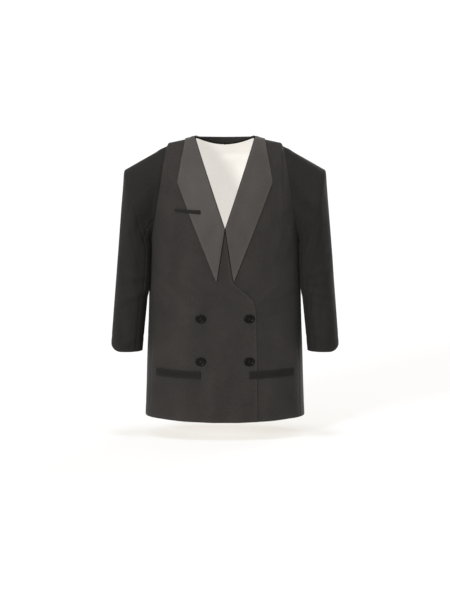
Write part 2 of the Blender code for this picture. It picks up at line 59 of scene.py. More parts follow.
Section = namedtuple("Section", "height halfWidth front back")
body = {
    "sections": (
        Section(0.000, 0.1975, 0.124, 0.106),
        Section(-0.120, 0.1975, 0.126, 0.111),
        Section(-0.286, 0.1975, 0.128, 0.113),
        Section(-0.404, 0.2005, 0.126, 0.105),
        Section(-0.470, 0.2020, 0.126, 0.102),
        Section(-0.573, 0.2057, 0.129, 0.111),
        Section(-0.660, 0.2081, 0.133, 0.119),
        Section(-0.741, 0.2110, 0.137, 0.126),
    ),
    "frontPower": 2.3,
    "backPower": 2.2,
    "frontRise": 0.235,
    "frontCurve": 1.7,
    "backRise": 0.160,
    "backCurve": 2.0,
    "neckHalf": 0.077,
    "shoulderHalf": 0.153,
    "shoulderDrop": 0.016,
    "napeRise": 0.010,
    "neckDip": 0.033,
    "padDrop": 0.009,
    "padStart": 0.1475,
    "padWidth": 0.008,
    "armholeTop": (0.1555, -0.025),
    "armholeBottom": (0.1975, -0.286),
    "chest": -0.286,
    "hem": -0.741,
    "frontSeam": 0.945,
    "backSeam": 0.925,
}

opening = {
    "bottom": -0.225,
    "lapWidth": 0.081,
    "lapFull": -0.430,
    "lapFade": 0.030,
    "lapMargin": 0.020,
    "lapLift": 0.0028,
    "sideGap": 0.0004,
    "edge": (               # height, half width of a front's edge; negative is past the middle
        (0.0, 0.077),
        (-0.225, 0.0004),
        (-0.370, -0.0206),
        (-0.392, -0.044),
        (-0.410, -0.066),
        (-0.430, -0.078),
        (-0.466, -0.081),
        (-0.741, -0.081),
    ),
    "edgeEase": 0.007,      # the corners below the lapel are eased over this height
    "easeAbove": 0.006,     # and from this far above the first of them
    "easeRun": 0.008,
    "liftFrom": 0.05,       # the right front starts to stand out this far down
    "liftRun": 0.12,
}

Fold = namedtuple("Fold", "x z angle length width depth bend")

# Soft drag lines and drape on the front. Angle is in degrees from level, bend curves the line.
frontFolds = (
    Fold(0.152, -0.205, 82, 0.200, 0.012, 0.0024, 0.5),
    Fold(-0.149, -0.222, 99, 0.180, 0.014, 0.0026, -0.6),
    Fold(0.170, -0.262, 74, 0.130, 0.010, 0.0015, 0.9),
    Fold(-0.172, -0.270, 108, 0.120, 0.010, 0.0016, -0.8),
    Fold(0.118, -0.446, 9, 0.120, 0.0095, 0.0019, 1.4),
    Fold(0.139, -0.483, -7, 0.100, 0.0085, 0.0015, -1.6),
    Fold(0.098, -0.417, 24, 0.085, 0.0090, 0.0011, 1.0),
    Fold(-0.112, -0.452, -8, 0.115, 0.0100, 0.0018, -1.2),
    Fold(-0.142, -0.491, 6, 0.095, 0.0090, 0.0016, 1.5),
    Fold(-0.090, -0.420, -22, 0.080, 0.0085, 0.0011, -1.1),
    Fold(-0.158, -0.425, -14, 0.070, 0.0080, 0.0013, 0.8),
    Fold(0.020, -0.520, 84, 0.120, 0.016, 0.0012, 0.3),
    Fold(0.128, -0.682, 86, 0.170, 0.021, 0.0030, 0.3),
    Fold(-0.118, -0.690, 95, 0.160, 0.023, 0.0031, -0.2),
    Fold(0.036, -0.698, 88, 0.150, 0.020, 0.0016, 0.2),
    Fold(-0.034, -0.690, 92, 0.150, 0.019, 0.0014, 0.0),
    Fold(-0.178, -0.640, 92, 0.140, 0.015, 0.0018, 0.3),
    Fold(0.180, -0.655, 88, 0.130, 0.014, 0.0016, -0.3),
)
backFolds = (
    Fold(0.146, -0.175, 81, 0.210, 0.014, 0.0034, 0.5),
    Fold(-0.142, -0.190, 100, 0.200, 0.015, 0.0036, -0.6),
    Fold(0.118, -0.235, 76, 0.140, 0.012, 0.0018, 0.6),
    Fold(-0.112, -0.250, 105, 0.130, 0.011, 0.0019, -0.4),
    Fold(0.020, -0.052, 3, 0.100, 0.010, 0.0014, -1.5),
    Fold(-0.040, -0.408, 5, 0.170, 0.013, 0.0026, -0.7),
    Fold(0.075, -0.432, -8, 0.150, 0.012, 0.0022, 0.9),
    Fold(-0.090, -0.452, 9, 0.120, 0.011, 0.0019, -1.1),
    Fold(0.130, -0.398, 14, 0.100, 0.011, 0.0017, 1.2),
    Fold(0.010, -0.480, -3, 0.110, 0.013, 0.0014, 0.8),
    Fold(-0.150, -0.500, 12, 0.090, 0.012, 0.0016, -0.9),
    Fold(0.128, -0.660, 85, 0.210, 0.024, 0.0042, 0.2),
    Fold(-0.122, -0.650, 96, 0.220, 0.025, 0.0044, -0.2),
    Fold(0.062, -0.690, 88, 0.160, 0.020, 0.0026, 0.1),
    Fold(-0.056, -0.700, 91, 0.150, 0.021, 0.0024, 0.0),
)
liningFolds = (
    Fold(0.000, -0.300, 90, 0.560, 0.007, 0.0020, 0.0),
    Fold(0.046, -0.230, 88, 0.300, 0.012, 0.0016, 0.1),
    Fold(-0.052, -0.250, 92, 0.320, 0.013, 0.0018, -0.1),
)
foldShape = {
    "trough": 0.5,          # the trough's depth as a share of the fold's
    "troughOffset": 1.7,
    "troughWidth": 1.1,
    "strength": 1.35,
    "fadeFrom": 0.015,      # no fold this close to the shoulder line
    "fadeRun": 0.05,
}


def smoothstep(value):
    value = np.clip(value, 0.0, 1.0)
    return value * value * (3 - 2 * value)


def unit(vectors):
    return vectors / np.maximum(np.linalg.norm(vectors, axis=-1, keepdims=True), 1e-12)


# grows from 0 to 1 over a run that begins at start
def ramp(value, start, run):
    return smoothstep((value - start) / run)


def bell(distance, width):
    return np.exp(-((distance / width) ** 2))


# the cubic through a table's values, or its rows of values, with the neighbours' mean slope at each place
def alongTable(places, values, at):
    places, values = np.asarray(places, float), np.asarray(values, float)
    if places[0] > places[-1]:
        places, values = places[::-1], values[::-1]
    slopes = np.gradient(values, places, axis=0)
    at = np.clip(at, places[0], places[-1])
    k = np.clip(np.searchsorted(places, at, side="right") - 1, 0, len(places) - 2)
    span = places[k + 1] - places[k]
    t = (at - places[k]) / span
    if values.ndim > 1:
        span, t = span[:, None], t[:, None]
    return (
        (2 * t**3 - 3 * t**2 + 1) * values[k]
        + (t**3 - 2 * t**2 + t) * span * slopes[k]
        + (3 * t**2 - 2 * t**3) * values[k + 1]
        + (t**3 - t**2) * span * slopes[k + 1]
    )


def bodySize(column, height):
    rows = body["sections"]
    return alongTable([row.height for row in rows], [getattr(row, column) for row in rows], height)


# shoulder line: level at the neck, a straight slope, then the pad's turned-down edge; the nape arches up
def ridgeHeight(x, back):
    x = np.abs(x)
    slope = body["shoulderDrop"] / (body["shoulderHalf"] - body["neckHalf"])
    height = -slope * np.maximum(x - body["neckHalf"], 0.0)
    height = height - body["padDrop"] * ramp(x, body["padStart"], body["padWidth"])
    return height + back * body["napeRise"] * np.maximum(1 - (x / body["neckHalf"]) ** 2, 0.0)


def turnAt(x, back, halfWidth=None):
    power = body["backPower"] if back else body["frontPower"]
    halfWidth = body["sections"][0].halfWidth if halfWidth is None else halfWidth
    share = np.clip(np.abs(x) / halfWidth, 0.0, 1.0)
    return np.sign(x) * np.arcsin(share ** (power / 2))


def turnOnFront(x, height):
    return turnAt(x, False, bodySize("halfWidth", height))


# body: a superellipse ring at each height, whose depth shrinks to nothing at the shoulder line
def bodyForm(turn, height, back):
    power = body["backPower"] if back else body["frontPower"]
    rise, curve = (body["backRise"], body["backCurve"]) if back else (body["frontRise"], body["frontCurve"])
    sine, cosine = np.sin(turn), np.cos(turn)
    x = bodySize("halfWidth", height) * np.sign(sine) * np.abs(sine) ** (2 / power)
    depth = bodySize("back" if back else "front", height) * np.abs(cosine) ** (2 / power)
    below = np.clip((ridgeHeight(x, back) - height) / rise, 0.0, 1.0)
    share = (1 - (1 - below) ** curve) ** (1 / curve)
    return np.stack([x, depth * share * (1 if back else -1), height + 0 * x], axis=-1)


def bodyNormal(turn, height, back):
    step, ridgeDepth, ridgeLean, aboveChest, edgeTurn = 1e-6, 1e-5, 0.2, 0.01, 0.001
    turn = np.clip(turn, edgeTurn - math.pi / 2, math.pi / 2 - edgeTurn)
    across = bodyForm(turn + step, height, back) - bodyForm(turn - step, height, back)
    up = bodyForm(turn, height + step, back) - bodyForm(turn, height - step, back)
    normal = unit(np.cross(up, across))
    place = bodyForm(turn, height, back)
    facing = np.where(np.sum(normal * place * (1, 1, 0), axis=-1) < 0, -1, 1)
    onRidge = (np.abs(place[..., 1]) < ridgeDepth) & (height > body["chest"] + aboveChest)
    lean = np.stack([ridgeLean * np.sign(turn), 0 * turn, 0 * turn + 1], axis=-1)
    return np.where(onRidge[..., None], unit(lean), normal * facing[..., None])


# a fold: a bell across its bent line with a shallow trough below it, fading at both ends
def foldHeight(x, z, folds):
    total = 0 * (x + z)
    for fold in folds:
        lean = math.radians(fold.angle)
        dx, dz = x - fold.x, z - fold.z
        along = dx * math.cos(lean) + dz * math.sin(lean)
        aside = (dz * math.cos(lean) - dx * math.sin(lean) - fold.bend * along**2) / fold.width
        trough = bell(aside + foldShape["troughOffset"], foldShape["troughWidth"])
        across = bell(aside, 1) - foldShape["trough"] * trough
        total = total + fold.depth * across * np.exp(-((2 * along / fold.length) ** 4))
    return total * foldShape["strength"]


def bodyFolds(x, height, back):
    fade = ramp(ridgeHeight(x, back) - height, foldShape["fadeFrom"], foldShape["fadeRun"])
    return fade * foldHeight(x, height, backFolds if back else frontFolds)


# how far the right front stands out over the left one
def lapShift(x, height):
    reach = opening["lapWidth"] + opening["lapMargin"] + opening["lapFade"]
    across = smoothstep((x + reach) / opening["lapFade"])
    return opening["lapLift"] * across * ramp(-height, opening["liftFrom"], opening["liftRun"])


# a point of the folded body, moved out by the lift
def onBody(turn, height, back, lift=0.0, over=False):
    x = bodyForm(turn, height, back)[..., 0]
    normal = bodyNormal(turn, height, back)
    out = lift + bodyFolds(x, height, back) + (lapShift(x, height) if over else 0.0)
    return bodyForm(turn, height, back) + normal * (out + 0 * x)[..., None], normal


def armholePoint(share):
    top, bottom = np.array(body["armholeTop"]), np.array(body["armholeBottom"])
    return top[0] + (bottom[0] - top[0]) * share, top[1] + (bottom[1] - top[1]) * share


def armholeShare(x):
    top, bottom = body["armholeTop"], body["armholeBottom"]
    return (np.asarray(x) - top[0]) / (bottom[0] - top[0])


# the edge's straight stretches, with the corners below the lapel eased by a mean of three heights
def frontEdge(height):
    heights, halves = zip(*opening["edge"][::-1])
    top = opening["edge"][2][0] + opening["easeAbove"]
    ease = opening["edgeEase"] * smoothstep((top - height) / opening["easeRun"])
    steps = [np.interp(height + ease * k, heights, halves) for k in (-1, -0.5, 0, 0.5, 1)]
    return sum(steps) / len(steps)


def rowsBetween(stops, step):
    found = [stops[0]]
    for high, low in zip(stops[:-1], stops[1:]):
        count = max(1, round((high - low) / step))
        found += [high + (low - high) * (k + 1) / count for k in range(count)]
    return np.array(found)


# evenly spaced shares, crowded towards both ends
def crowded(count, amount=0.5):
    even = np.linspace(0, 1, count)
    return even * (1 - amount) + amount * (1 - np.cos(math.pi * even)) / 2


# moves the grid's four borders inwards along the cloth
def drawnIn(points, amounts):
    top, bottom, first, last = amounts
    moved = points.copy()
    moved[0] += unit(points[1] - points[0]) * top
    moved[-1] += unit(points[-2] - points[-1]) * bottom
    moved[:, 0] += unit(points[:, 1] - points[:, 0]) * first
    moved[:, -1] += unit(points[:, -2] - points[:, -1]) * last
    return moved


# lengths along the cloth from the grid's first row and first column
def clothLengths(points):
    down = np.linalg.norm(np.diff(points, axis=0), axis=-1)
    over = np.linalg.norm(np.diff(points, axis=1), axis=-1)
    v = np.vstack([np.zeros((1, points.shape[1])), np.cumsum(down, axis=0)])
    u = np.hstack([np.zeros((points.shape[0], 1)), np.cumsum(over, axis=1)])
    return u, v


# distance along the cloth from each point to the named borders: top, bottom, first, last
def borderDistance(points, borders):
    u, v = clothLengths(points)
    distances = {"top": v, "bottom": v[-1:] - v, "first": u, "last": u[:, -1:] - u}
    found = [distances[name] for name in borders]
    return np.min(found, axis=0) if found else np.full(u.shape, 1.0)


def seamPull(points, borders):
    return -cloth["seamDip"] * bell(borderDistance(points, borders), cloth["seamDipWidth"])


# a piece of cloth: a closed wall of an outer grid, drawn in at its borders, an inner grid one thickness in
# and a rounded rim between them; the weave is laid out along the unfolded grid, where one is given
def makeCloth(
    name, outer, normal, edges, fabric, free=(), thick=cloth["thick"], grain=(0.0, 0.0),
    unfolded=None,
):
    outer = drawnIn(outer, edges)
    rows, columns = outer.shape[:2]
    inner = outer - normal * thick
    index = np.arange(rows * columns).reshape(rows, columns)
    loop = np.concatenate([index[0, :-1], index[:-1, -1], index[-1, :0:-1], index[:0:-1, 0]])
    i, j = np.divmod(loop, columns)
    ni, nj = np.clip(i, 1, rows - 2), np.clip(j, 1, columns - 2)
    middle = (outer + inner) / 2
    rim = middle[i, j] + unit(middle[i, j] - middle[ni, nj]) * cloth["rimReach"]
    points = np.concatenate([outer.reshape(-1, 3), inner.reshape(-1, 3), rim])
    a, b, c, d = (part.ravel() for part in (index[:-1, :-1], index[1:, :-1], index[1:, 1:], index[:-1, 1:]))
    beyond = rows * columns
    after = np.roll(loop, -1)
    rimLoop = 2 * beyond + np.arange(len(loop))
    rimAfter = np.roll(rimLoop, -1)
    faces = np.concatenate([
        np.stack([a, b, c, d], axis=-1),
        np.stack([a, d, c, b], axis=-1) + beyond,
        np.stack([loop, after, rimAfter, rimLoop], axis=-1),
        np.stack([rimLoop, rimAfter, after + beyond, loop + beyond], axis=-1),
    ])
    faceNormal = np.cross(outer[1:, 1:] - outer[:-1, :-1], outer[:-1, 1:] - outer[1:, :-1])
    if np.sum(faceNormal * normal[:-1, :-1]) < 0:
        faces = faces[:, ::-1]
    u, v = clothLengths(outer if unfolded is None else unfolded)
    uv = np.stack([u + grain[0], v + grain[1]], axis=-1)
    wear = bell(borderDistance(outer, free), cloth["edgeWear"])
    finish, slotName = fabrics[fabric]
    piece = addMesh(name + "_cloth", points, faces, finish)
    giveUv(piece, faces, np.concatenate([uv.reshape(-1, 2), uv.reshape(-1, 2), uv[i, j]]))
    giveWear(piece, np.concatenate([wear.ravel(), wear.ravel(), wear[i, j]]))
    placePiece(piece, [name])
    asSheet(outer)
    return outer, normal


def addMesh(name, points, faces, finish):
    mesh = bpy.data.meshes.new(name)
    mesh.from_pydata(points.tolist(), [], faces.tolist())
    mesh.shade_smooth()
    mesh.materials.append(finish)
    return addObject(name, mesh)


def addObject(name, data):
    made = bpy.data.objects.new(name, data)
    bpy.context.scene.collection.objects.link(made)
    return made


def giveUv(piece, faces, uv):
    layer = piece.data.uv_layers.new(name="cloth")
    layer.data.foreach_set("uv", uv[faces.ravel()].astype(np.float32).ravel())


def giveWear(piece, wear):
    attribute = piece.data.attributes.new("wear", "FLOAT", "POINT")
    attribute.data.foreach_set("value", wear.astype(np.float32))


def placePiece(piece, nodes=()):
    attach(piece, "root")
    if nodes:
        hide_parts(*nodes)


# the grid's face cross products and its level run lengths are worked out here, and nothing uses them
def asSheet(outer):
    sides = np.cross(outer[1:, 1:] - outer[:-1, :-1], outer[:-1, 1:] - outer[1:, :-1])
    level, _ = clothLengths(outer * (1, 1, 0))


# shader maths: a Value wraps a socket, and an expression on Values adds Math nodes
class Value:
    def __init__(self, finish, socket):
        self.finish, self.socket = finish, socket

    def __add__(self, other):
        return self.finish.maths("ADD", self, other)

    def __sub__(self, other):
        return self.finish.maths("SUBTRACT", self, other)

    def __mul__(self, other):
        return self.finish.maths("MULTIPLY", self, other)

    __radd__ = __add__
    __rmul__ = __mul__


class Finish:
    def __init__(self, name, roughness, specular, sheen=0.0, sheenRoughness=0.5, sheenTint=(1, 1, 1)):
        self.material = bpy.data.materials.new(name)
        self.material.use_nodes = True
        self.tree = self.material.node_tree
        self.shader = self.tree.nodes["Principled BSDF"]
        self.set("Roughness", roughness)
        self.set("Specular IOR Level", specular)
        self.set("Sheen Weight", sheen)
        self.set("Sheen Roughness", sheenRoughness)
        self.set("Sheen Tint", (*sheenTint, 1.0))

    def set(self, socketName, value):
        socket = self.shader.inputs[socketName]
        if isinstance(value, Value):
            self.tree.links.new(value.socket, socket)
        else:
            socket.default_value = value

    # any node: its settings first, then the values or links of its sockets, found by identifier or name
    def node(self, kind, settings=None, inputs=None, output=0):
        made = self.tree.nodes.new(kind)
        for key, value in (settings or {}).items():
            setattr(made, key, value)
        for key, value in (inputs or {}).items():
            socket = next(s for s in made.inputs if key in (s.identifier, s.name) and s.enabled)
            if isinstance(value, Value):
                self.tree.links.new(value.socket, socket)
            else:
                socket.default_value = value
        if isinstance(output, str):
            return Value(self, next(s for s in made.outputs if output in (s.identifier, s.name) and s.enabled))
        return Value(self, made.outputs[output])

    def maths(self, operation, first, second=None):
        values = {"Value": first} if second is None else {"Value": first, "Value_001": second}
        return self.node("ShaderNodeMath", {"operation": operation}, values)

    def mix(self, factor, first, second):
        return self.node(
            "ShaderNodeMix", {"data_type": "RGBA"},
            {"Factor_Float": factor, "A_Color": first, "B_Color": second}, "Result_Color",
        )

    def noise(self, u, v, w=0.0, detail=2.0):
        vector = self.node("ShaderNodeCombineXYZ", None, {"X": u, "Y": v, "Z": w})
        return self.node("ShaderNodeTexNoise", None, {"Vector": vector, "Scale": 1.0, "Detail": detail})

    def clothCoordinates(self):
        uv = self.node("ShaderNodeUVMap", {"uv_map": "cloth"})
        split = self.node("ShaderNodeSeparateXYZ", None, {"Vector": uv})
        return split, Value(self, split.socket.node.outputs["Y"])

    def bump(self, height, distance, strength, under=None):
        inputs = {"Height": height, "Distance": distance, "Strength": strength}
        if under is not None:
            inputs["Normal"] = under
        return self.node("ShaderNodeBump", None, inputs)


finishes = {"liningPaintedGlow": 0.77}    # painted light: the lining glows, so that it stays pale in the shade of the hollow


def shade(colour, amount):
    return tuple(channel * amount for channel in colour) + (1.0,)


twill = {
    "wale": 0.0011,        # spacing of the diagonal lines across the cloth
    "waleRise": 0.0016,    # and along it
    "float": 0.0007,       # length of one thread's float
    "slubAcross": 1100.0,  # thread streaks, cycles in a metre
    "slubAlong": 90.0,
    "nap": 260.0,
    "mottle": 16.0,
    # how much the weave, streaks, weft, nap, mottle and wear each change the tone
    "shares": (0.9, 1.3, 0.7, 1.0, 1.1),
    "wearShare": 0.35,
}


# wool twill: diagonal wales broken into floats, thread streaks, a soft nap and a slow mottle
def woolFinish(kind):
    wool = Finish(kind.name, kind.roughness, kind.specular, kind.sheen, 0.45, (1.0, 0.97, 0.93))
    u, v = wool.clothCoordinates()
    turn = 2 * math.pi
    wale = wool.maths("SINE", u * (turn / twill["wale"]) + v * (turn / twill["waleRise"])) * 0.5 + 0.5
    floats = wool.maths("SINE", v * (turn / twill["float"]) - u * (turn / (4 * twill["float"]))) * 0.5 + 0.5
    streak = wool.noise(u * twill["slubAcross"], v * twill["slubAlong"], detail=3.0)
    weft = wool.noise(u * twill["slubAlong"], v * twill["slubAcross"], 7.0, detail=2.0)
    nap = wool.noise(u * twill["nap"], v * twill["nap"], 3.0, detail=3.0)
    mottle = wool.noise(u * twill["mottle"], v * (twill["mottle"] * 0.6), 1.0, detail=2.0)
    weave = wale * 0.65 + floats * 0.35
    wear = wool.node("ShaderNodeAttribute", {"attribute_name": "wear"}, None, "Fac")
    tone = 0.5
    for part, share in zip((weave, streak, weft, nap, mottle), twill["shares"]):
        tone = tone + (part - 0.5) * (share * kind.contrast)
    tone = tone + wear * (twill["wearShare"] * kind.contrast)
    factor = wool.node("ShaderNodeClamp", None, {"Value": tone})
    wool.set("Base Color", wool.mix(factor, shade(kind.colour, 0.55), shade(kind.colour, 1.45)))
    wool.set("Roughness", streak * 0.12 + (kind.roughness - 0.06))
    fine = wool.bump(weave + streak * 0.6, 0.00022, kind.bump)
    wool.set("Normal", wool.bump(nap, 0.0006, kind.bump * 0.5, fine))
    return wool.material


# satin lining: fine thread lines and a slow silky variation, with painted shade that deepens the tint towards the
# neck, and a painted glow
def liningFinish(name, colour):
    satin = Finish(name, 0.55, 0.12, 0.1, 0.4)
    u, v = satin.clothCoordinates()
    thread = satin.maths("SINE", u * (2 * math.pi / 0.0005)) * 0.5 + 0.5
    streak = satin.noise(u * 900.0, v * 25.0, detail=2.0)
    slow = satin.noise(u * 14.0, v * 9.0, 2.0, detail=1.0)
    # painted shade: the tone rises with the distance down from the neck, so that the top of the opening, where
    # more light reaches in, is painted darker
    tone = v * 3.5 + streak * 0.3 + slow * 0.4 + thread * 0.05 - 0.15
    factor = satin.node("ShaderNodeClamp", None, {"Value": tone})
    tint = satin.mix(factor, shade(colour, 0.86), shade(colour, 1.05))
    # painted light: half the colour is lit and half is given as a glow, so that the lining stays pale in the shade
    # of the hollow
    satin.set("Base Color", satin.mix(0.5, tint, (0.0, 0.0, 0.0, 1.0)))
    satin.set("Emission Color", tint)
    satin.set("Emission Strength", finishes["liningPaintedGlow"])
    satin.set("Roughness", 0.5 + streak * 0.14)
    satin.set("Normal", satin.bump(thread * 0.4 + streak, 0.00012, 0.4))
    return satin.material


# horn: near-black with warm streaks under a polished surface and faint turning marks
def hornFinish(name, colour):
    horn = Finish(name, 0.3, 0.07)
    horn.set("Coat Weight", 0.02)
    horn.set("Coat Roughness", 0.1)
    place = horn.node("ShaderNodeTexCoord", None, None, "Object")
    warp = horn.node("ShaderNodeTexNoise", None, {"Vector": place, "Scale": 70.0, "Detail": 3.0})
    grain = horn.node(
        "ShaderNodeTexWave", {"wave_type": "BANDS", "bands_direction": "DIAGONAL"},
        {"Vector": place, "Scale": 120.0, "Distortion": 9.0, "Detail": 2.0, "Detail Scale": 2.0}, "Fac",
    )
    factor = horn.node("ShaderNodeClamp", None, {"Value": warp * 0.6 + grain * 0.3 - 0.1})
    horn.set("Base Color", horn.mix(factor, shade(colour, 0.6), colours["hornStreak"]))
    horn.set("Roughness", 0.22 + warp * 0.16)
    horn.set("Normal", horn.bump(grain, 0.00008, 0.25))
    return horn.material


# sewing thread: twisted plies along the stitch
def threadFinish(name, colour):
    thread = Finish(name, 0.6, 0.2, 0.2)
    place = thread.node("ShaderNodeTexCoord", None, None, "Object")
    twist = thread.node("ShaderNodeTexNoise", None, {"Vector": place, "Scale": 2600.0, "Detail": 1.0})
    thread.set("Base Color", thread.mix(twist, shade(colour, 0.7), shade(colour, 1.3)))
    thread.set("Normal", thread.bump(twist, 0.0001, 0.5))
    return thread.material


colours = {
    "lining": (0.84, 0.80, 0.745),
    "horn": (0.0024, 0.0021, 0.0021),
    "hornStreak": (0.0065, 0.0048, 0.0040, 1.0),
    "thread": (0.009, 0.008, 0.0075),
}
Wool = namedtuple("Wool", "name slot colour roughness specular sheen contrast bump")
wools = {
    "suiting": Wool("suiting twill", "suiting", (0.0192, 0.0168, 0.0154), 0.82, 0.18, 0.04, 0.8, 0.5),
    "sleeve": Wool("sleeve twill", "sleeve_suiting", (0.0110, 0.0100, 0.0090), 0.84, 0.14, 0.03, 0.8, 0.5),
    # painted shade: the pocket strips take a darker copy of the sleeve twill, which offsets the key light that
    # falls on them
    "pocket": Wool("pocket twill with painted shade", "sleeve_suiting", (0.0082, 0.0074, 0.0067), 0.84, 0.12, 0.03, 0.8, 0.5),
    "facing": Wool("lapel facing twill", "lapel_facing", (0.0390, 0.0345, 0.0310), 0.62, 0.22, 0.06, 0.5, 0.35),
}
# each fabric has its finish and its slot
fabrics = {key: (woolFinish(kind), kind.slot) for key, kind in wools.items()}
fabrics["lining"] = (liningFinish("lining satin", colours["lining"]), "lining")
horn = hornFinish("button horn", colours["horn"])
sewingThread = threadFinish("sewing thread", colours["thread"])
print("blazer: finishes ready")


panels = {
    "upperRows": 64,
    "rowPower": 2.0,
    "lowerStep": 0.0065,
    "frontColumns": 84,
    "backColumns": 72,
    "sideColumns": 9,
    "armholeSweep": 0.62 * math.pi,
    "neckColumn": 0.42,
    "smoothX": (0.148, 0.008),      # beside the armhole no seam pulls the cloth in: from, and over
    "smoothZ": (-0.245, 0.02),
    "sideBelow": 0.004,             # the side panel's second row, below the armhole's lowest point
    "sideFollow": 0.95,
}
hem = {
    "turn": 0.038,                  # height of the turned-up cloth, caught inside
    "press": 0.0008,
    "pressWidth": 0.003,
    "bowFrom": 0.62,                # the bow starts this far down
    "bowDip": 0.0042,
    "bowHalf": 0.17,
    "bowRise": 0.0036,
}


# turn and height of a front or back panel at +X: rows from the shoulder line to the hem
def panelGrid(back):
    columns = panels["backColumns" if back else "frontColumns"]
    seamX = body["backSeam" if back else "frontSeam"] * body["sections"][0].halfWidth
    join = float(armholeShare(seamX))
    joinHeight = armholePoint(join)[1]
    run = np.linspace(0, 1, panels["upperRows"])[:, None]
    share = run ** panels["rowPower"]
    sweep = panels["armholeSweep"]
    outerX, outerHeight = armholePoint(join * (1 - np.cos(run * sweep)) / (1 - math.cos(sweep)))
    even = crowded(columns)[None, :]
    if back:
        innerHeight = joinHeight * share
        innerTurn = 0 * run
        neckColumn = round((columns - 1) * panels["neckColumn"])
        neckShare = float(turnAt(body["neckHalf"], back) / turnAt(body["armholeTop"][0], back))
        spread = np.interp(np.arange(columns), (0, neckColumn, columns - 1), (0, neckShare, 1))[None, :]
        column = spread * (1 - share) + even * share
    else:
        innerHeight = opening["bottom"] * share
        innerTurn = turnAt(frontEdge(innerHeight), back)
        column = even
    turn = innerTurn + (turnAt(outerX, back) - innerTurn) * column
    x = bodyForm(turn, 0 * turn, back)[..., 0]
    straight = innerHeight + (outerHeight - innerHeight) * column
    outerFall = ridgeHeight(outerX, back) - outerHeight
    under = -innerHeight + (outerFall + innerHeight) * column
    if back:
        under = under + body["neckDip"] * np.maximum(1 - (x / body["neckHalf"]) ** 2, 0.0) * (1 - share)
    alongRidge = ridgeHeight(x, back) - under
    upper = alongRidge + (straight - alongRidge) * smoothstep(run)

    start = joinHeight if back else opening["bottom"]
    stops = (start, body["chest"], opening["lapFull"], body["hem"])
    innerLower = rowsBetween(stops, panels["lowerStep"])[1:, None]
    settle = np.clip((start - innerLower) / (start - body["chest"]), 0, 1)
    outerLower = innerLower + (joinHeight - start) * (1 - settle)
    innerLowerTurn = 0 * innerLower if back else turnAt(frontEdge(innerLower), back)
    lower = innerLower + (outerLower - innerLower) * even
    lowerTurn = innerLowerTurn + (turnAt(seamX, back) - innerLowerTurn) * even
    return np.vstack([turn, lowerTurn]), np.vstack([upper, lower])


# a band pressed in where the hem is turned up and caught inside
def hemPress(height, caught=body["hem"] + hem["turn"]):
    return -hem["press"] * bell(height - caught, hem["pressWidth"])


# the hem hangs a little lower in the middle than at the sides
def hemDip(x, height):
    low = ramp(-height, hem["bowFrom"], -body["hem"] - hem["bowFrom"])
    return height - low * (hem["bowDip"] * np.maximum(1 - (x / hem["bowHalf"]) ** 2, 0.0) - hem["bowRise"])


def makePanel(name, back, side):
    reach, seam = cloth["rimReach"], cloth["seamReach"]
    turn, height = panelGrid(back)
    seams = ("top", "first", "last") if back else ("top", "last")
    free = ("bottom",) if back else ("bottom", "first")
    plain = bodyForm(turn * side, height, back)
    height = hemDip(plain[..., 0], height)
    byArmhole = ramp(np.abs(plain[..., 0]), *panels["smoothX"]) * ramp(height, *panels["smoothZ"])
    lift = seamPull(plain, seams) * (1 - byArmhole) + hemPress(height)
    outer, normal = onBody(turn * side, height, back, lift, over=name == "front_right")
    edges = (seam, reach, seam if back else reach, seam)
    return makeCloth(name, outer, normal, edges, "suiting", free, grain=(0.3 * side, 0.1), unfolded=plain)


frontGrids = {}
for side, word in sides:
    frontGrids[word] = makePanel("front_" + word, False, side)
    makePanel("back_" + word, True, side)
print("blazer: fronts and backs cut")


# side panel: columns from the front seam round to the back seam, under a top row that follows the armhole
def makeSidePanel(side, word):
    chest = body["chest"]
    halfWidth = body["sections"][0].halfWidth
    frontX = np.linspace(body["frontSeam"], 1, panels["sideColumns"])[:-1] * halfWidth
    backX = np.linspace(1, body["backSeam"], panels["sideColumns"]) * halfWidth
    stops = (chest - panels["sideBelow"], opening["lapFull"], body["hem"])
    level = rowsBetween(stops, panels["lowerStep"])[:, None]
    settle = np.clip((level - opening["lapFull"]) / (level[0] - opening["lapFull"]), 0, 1)
    outers, normals = [], []
    for x, back in ((frontX, False), (backX, True)):
        top = armholePoint(armholeShare(x))[1]
        height = np.vstack([top, level + (top - chest) * settle * panels["sideFollow"]])
        turn = turnAt(x, back) + 0 * height
        height = hemDip(x, height)
        place, normal = onBody(turn * side, height, back, hemPress(height))
        outers.append(place)
        normals.append(normal)
    outer, normal = np.hstack(outers), np.hstack(normals)
    outer = outer + normal * seamPull(outer, ("first", "last"))[..., None]
    seam = cloth["seamReach"]
    makeCloth("side_" + word, outer, normal, (seam, cloth["rimReach"], seam, seam), "suiting", ("bottom",))


for side, word in sides:
    makeSidePanel(side, word)
print("blazer: side panels cut")


lining = {
    "topRow": 9,            # the back's first rows are close together, and the lining skips them
    "hemRows": 4,           # rows of the back below the lining's hem
    "foldFrom": 0.05,
    "foldRun": 0.05,
    "edges": (0.0028, 0.001, 0.0025, 0.0025),
}


# one lining for both backs, on their inside, with a little ease in folds
def makeLining():
    turn, height = panelGrid(True)
    turn = np.hstack([-turn[:, :0:-1], turn])[:-lining["hemRows"]]
    height = np.hstack([height[:, :0:-1], height])[:-lining["hemRows"]]
    keep = np.concatenate([[0], np.arange(lining["topRow"], len(turn))])
    turn, height = turn[keep], height[keep]
    x = bodyForm(turn, height, True)[..., 0]
    fade = ramp(-height, lining["foldFrom"], lining["foldRun"])
    lift = -cloth["thick"] - cloth["layGap"] - np.abs(foldHeight(x, height, liningFolds)) * fade
    outer, normal = onBody(turn, height, True, lift)
    makeCloth(
        "back_lining", outer, normal, lining["edges"], "lining", ("bottom",),
        thick=cloth["liningThick"],
    )


makeLining()
print("blazer: lining hung")


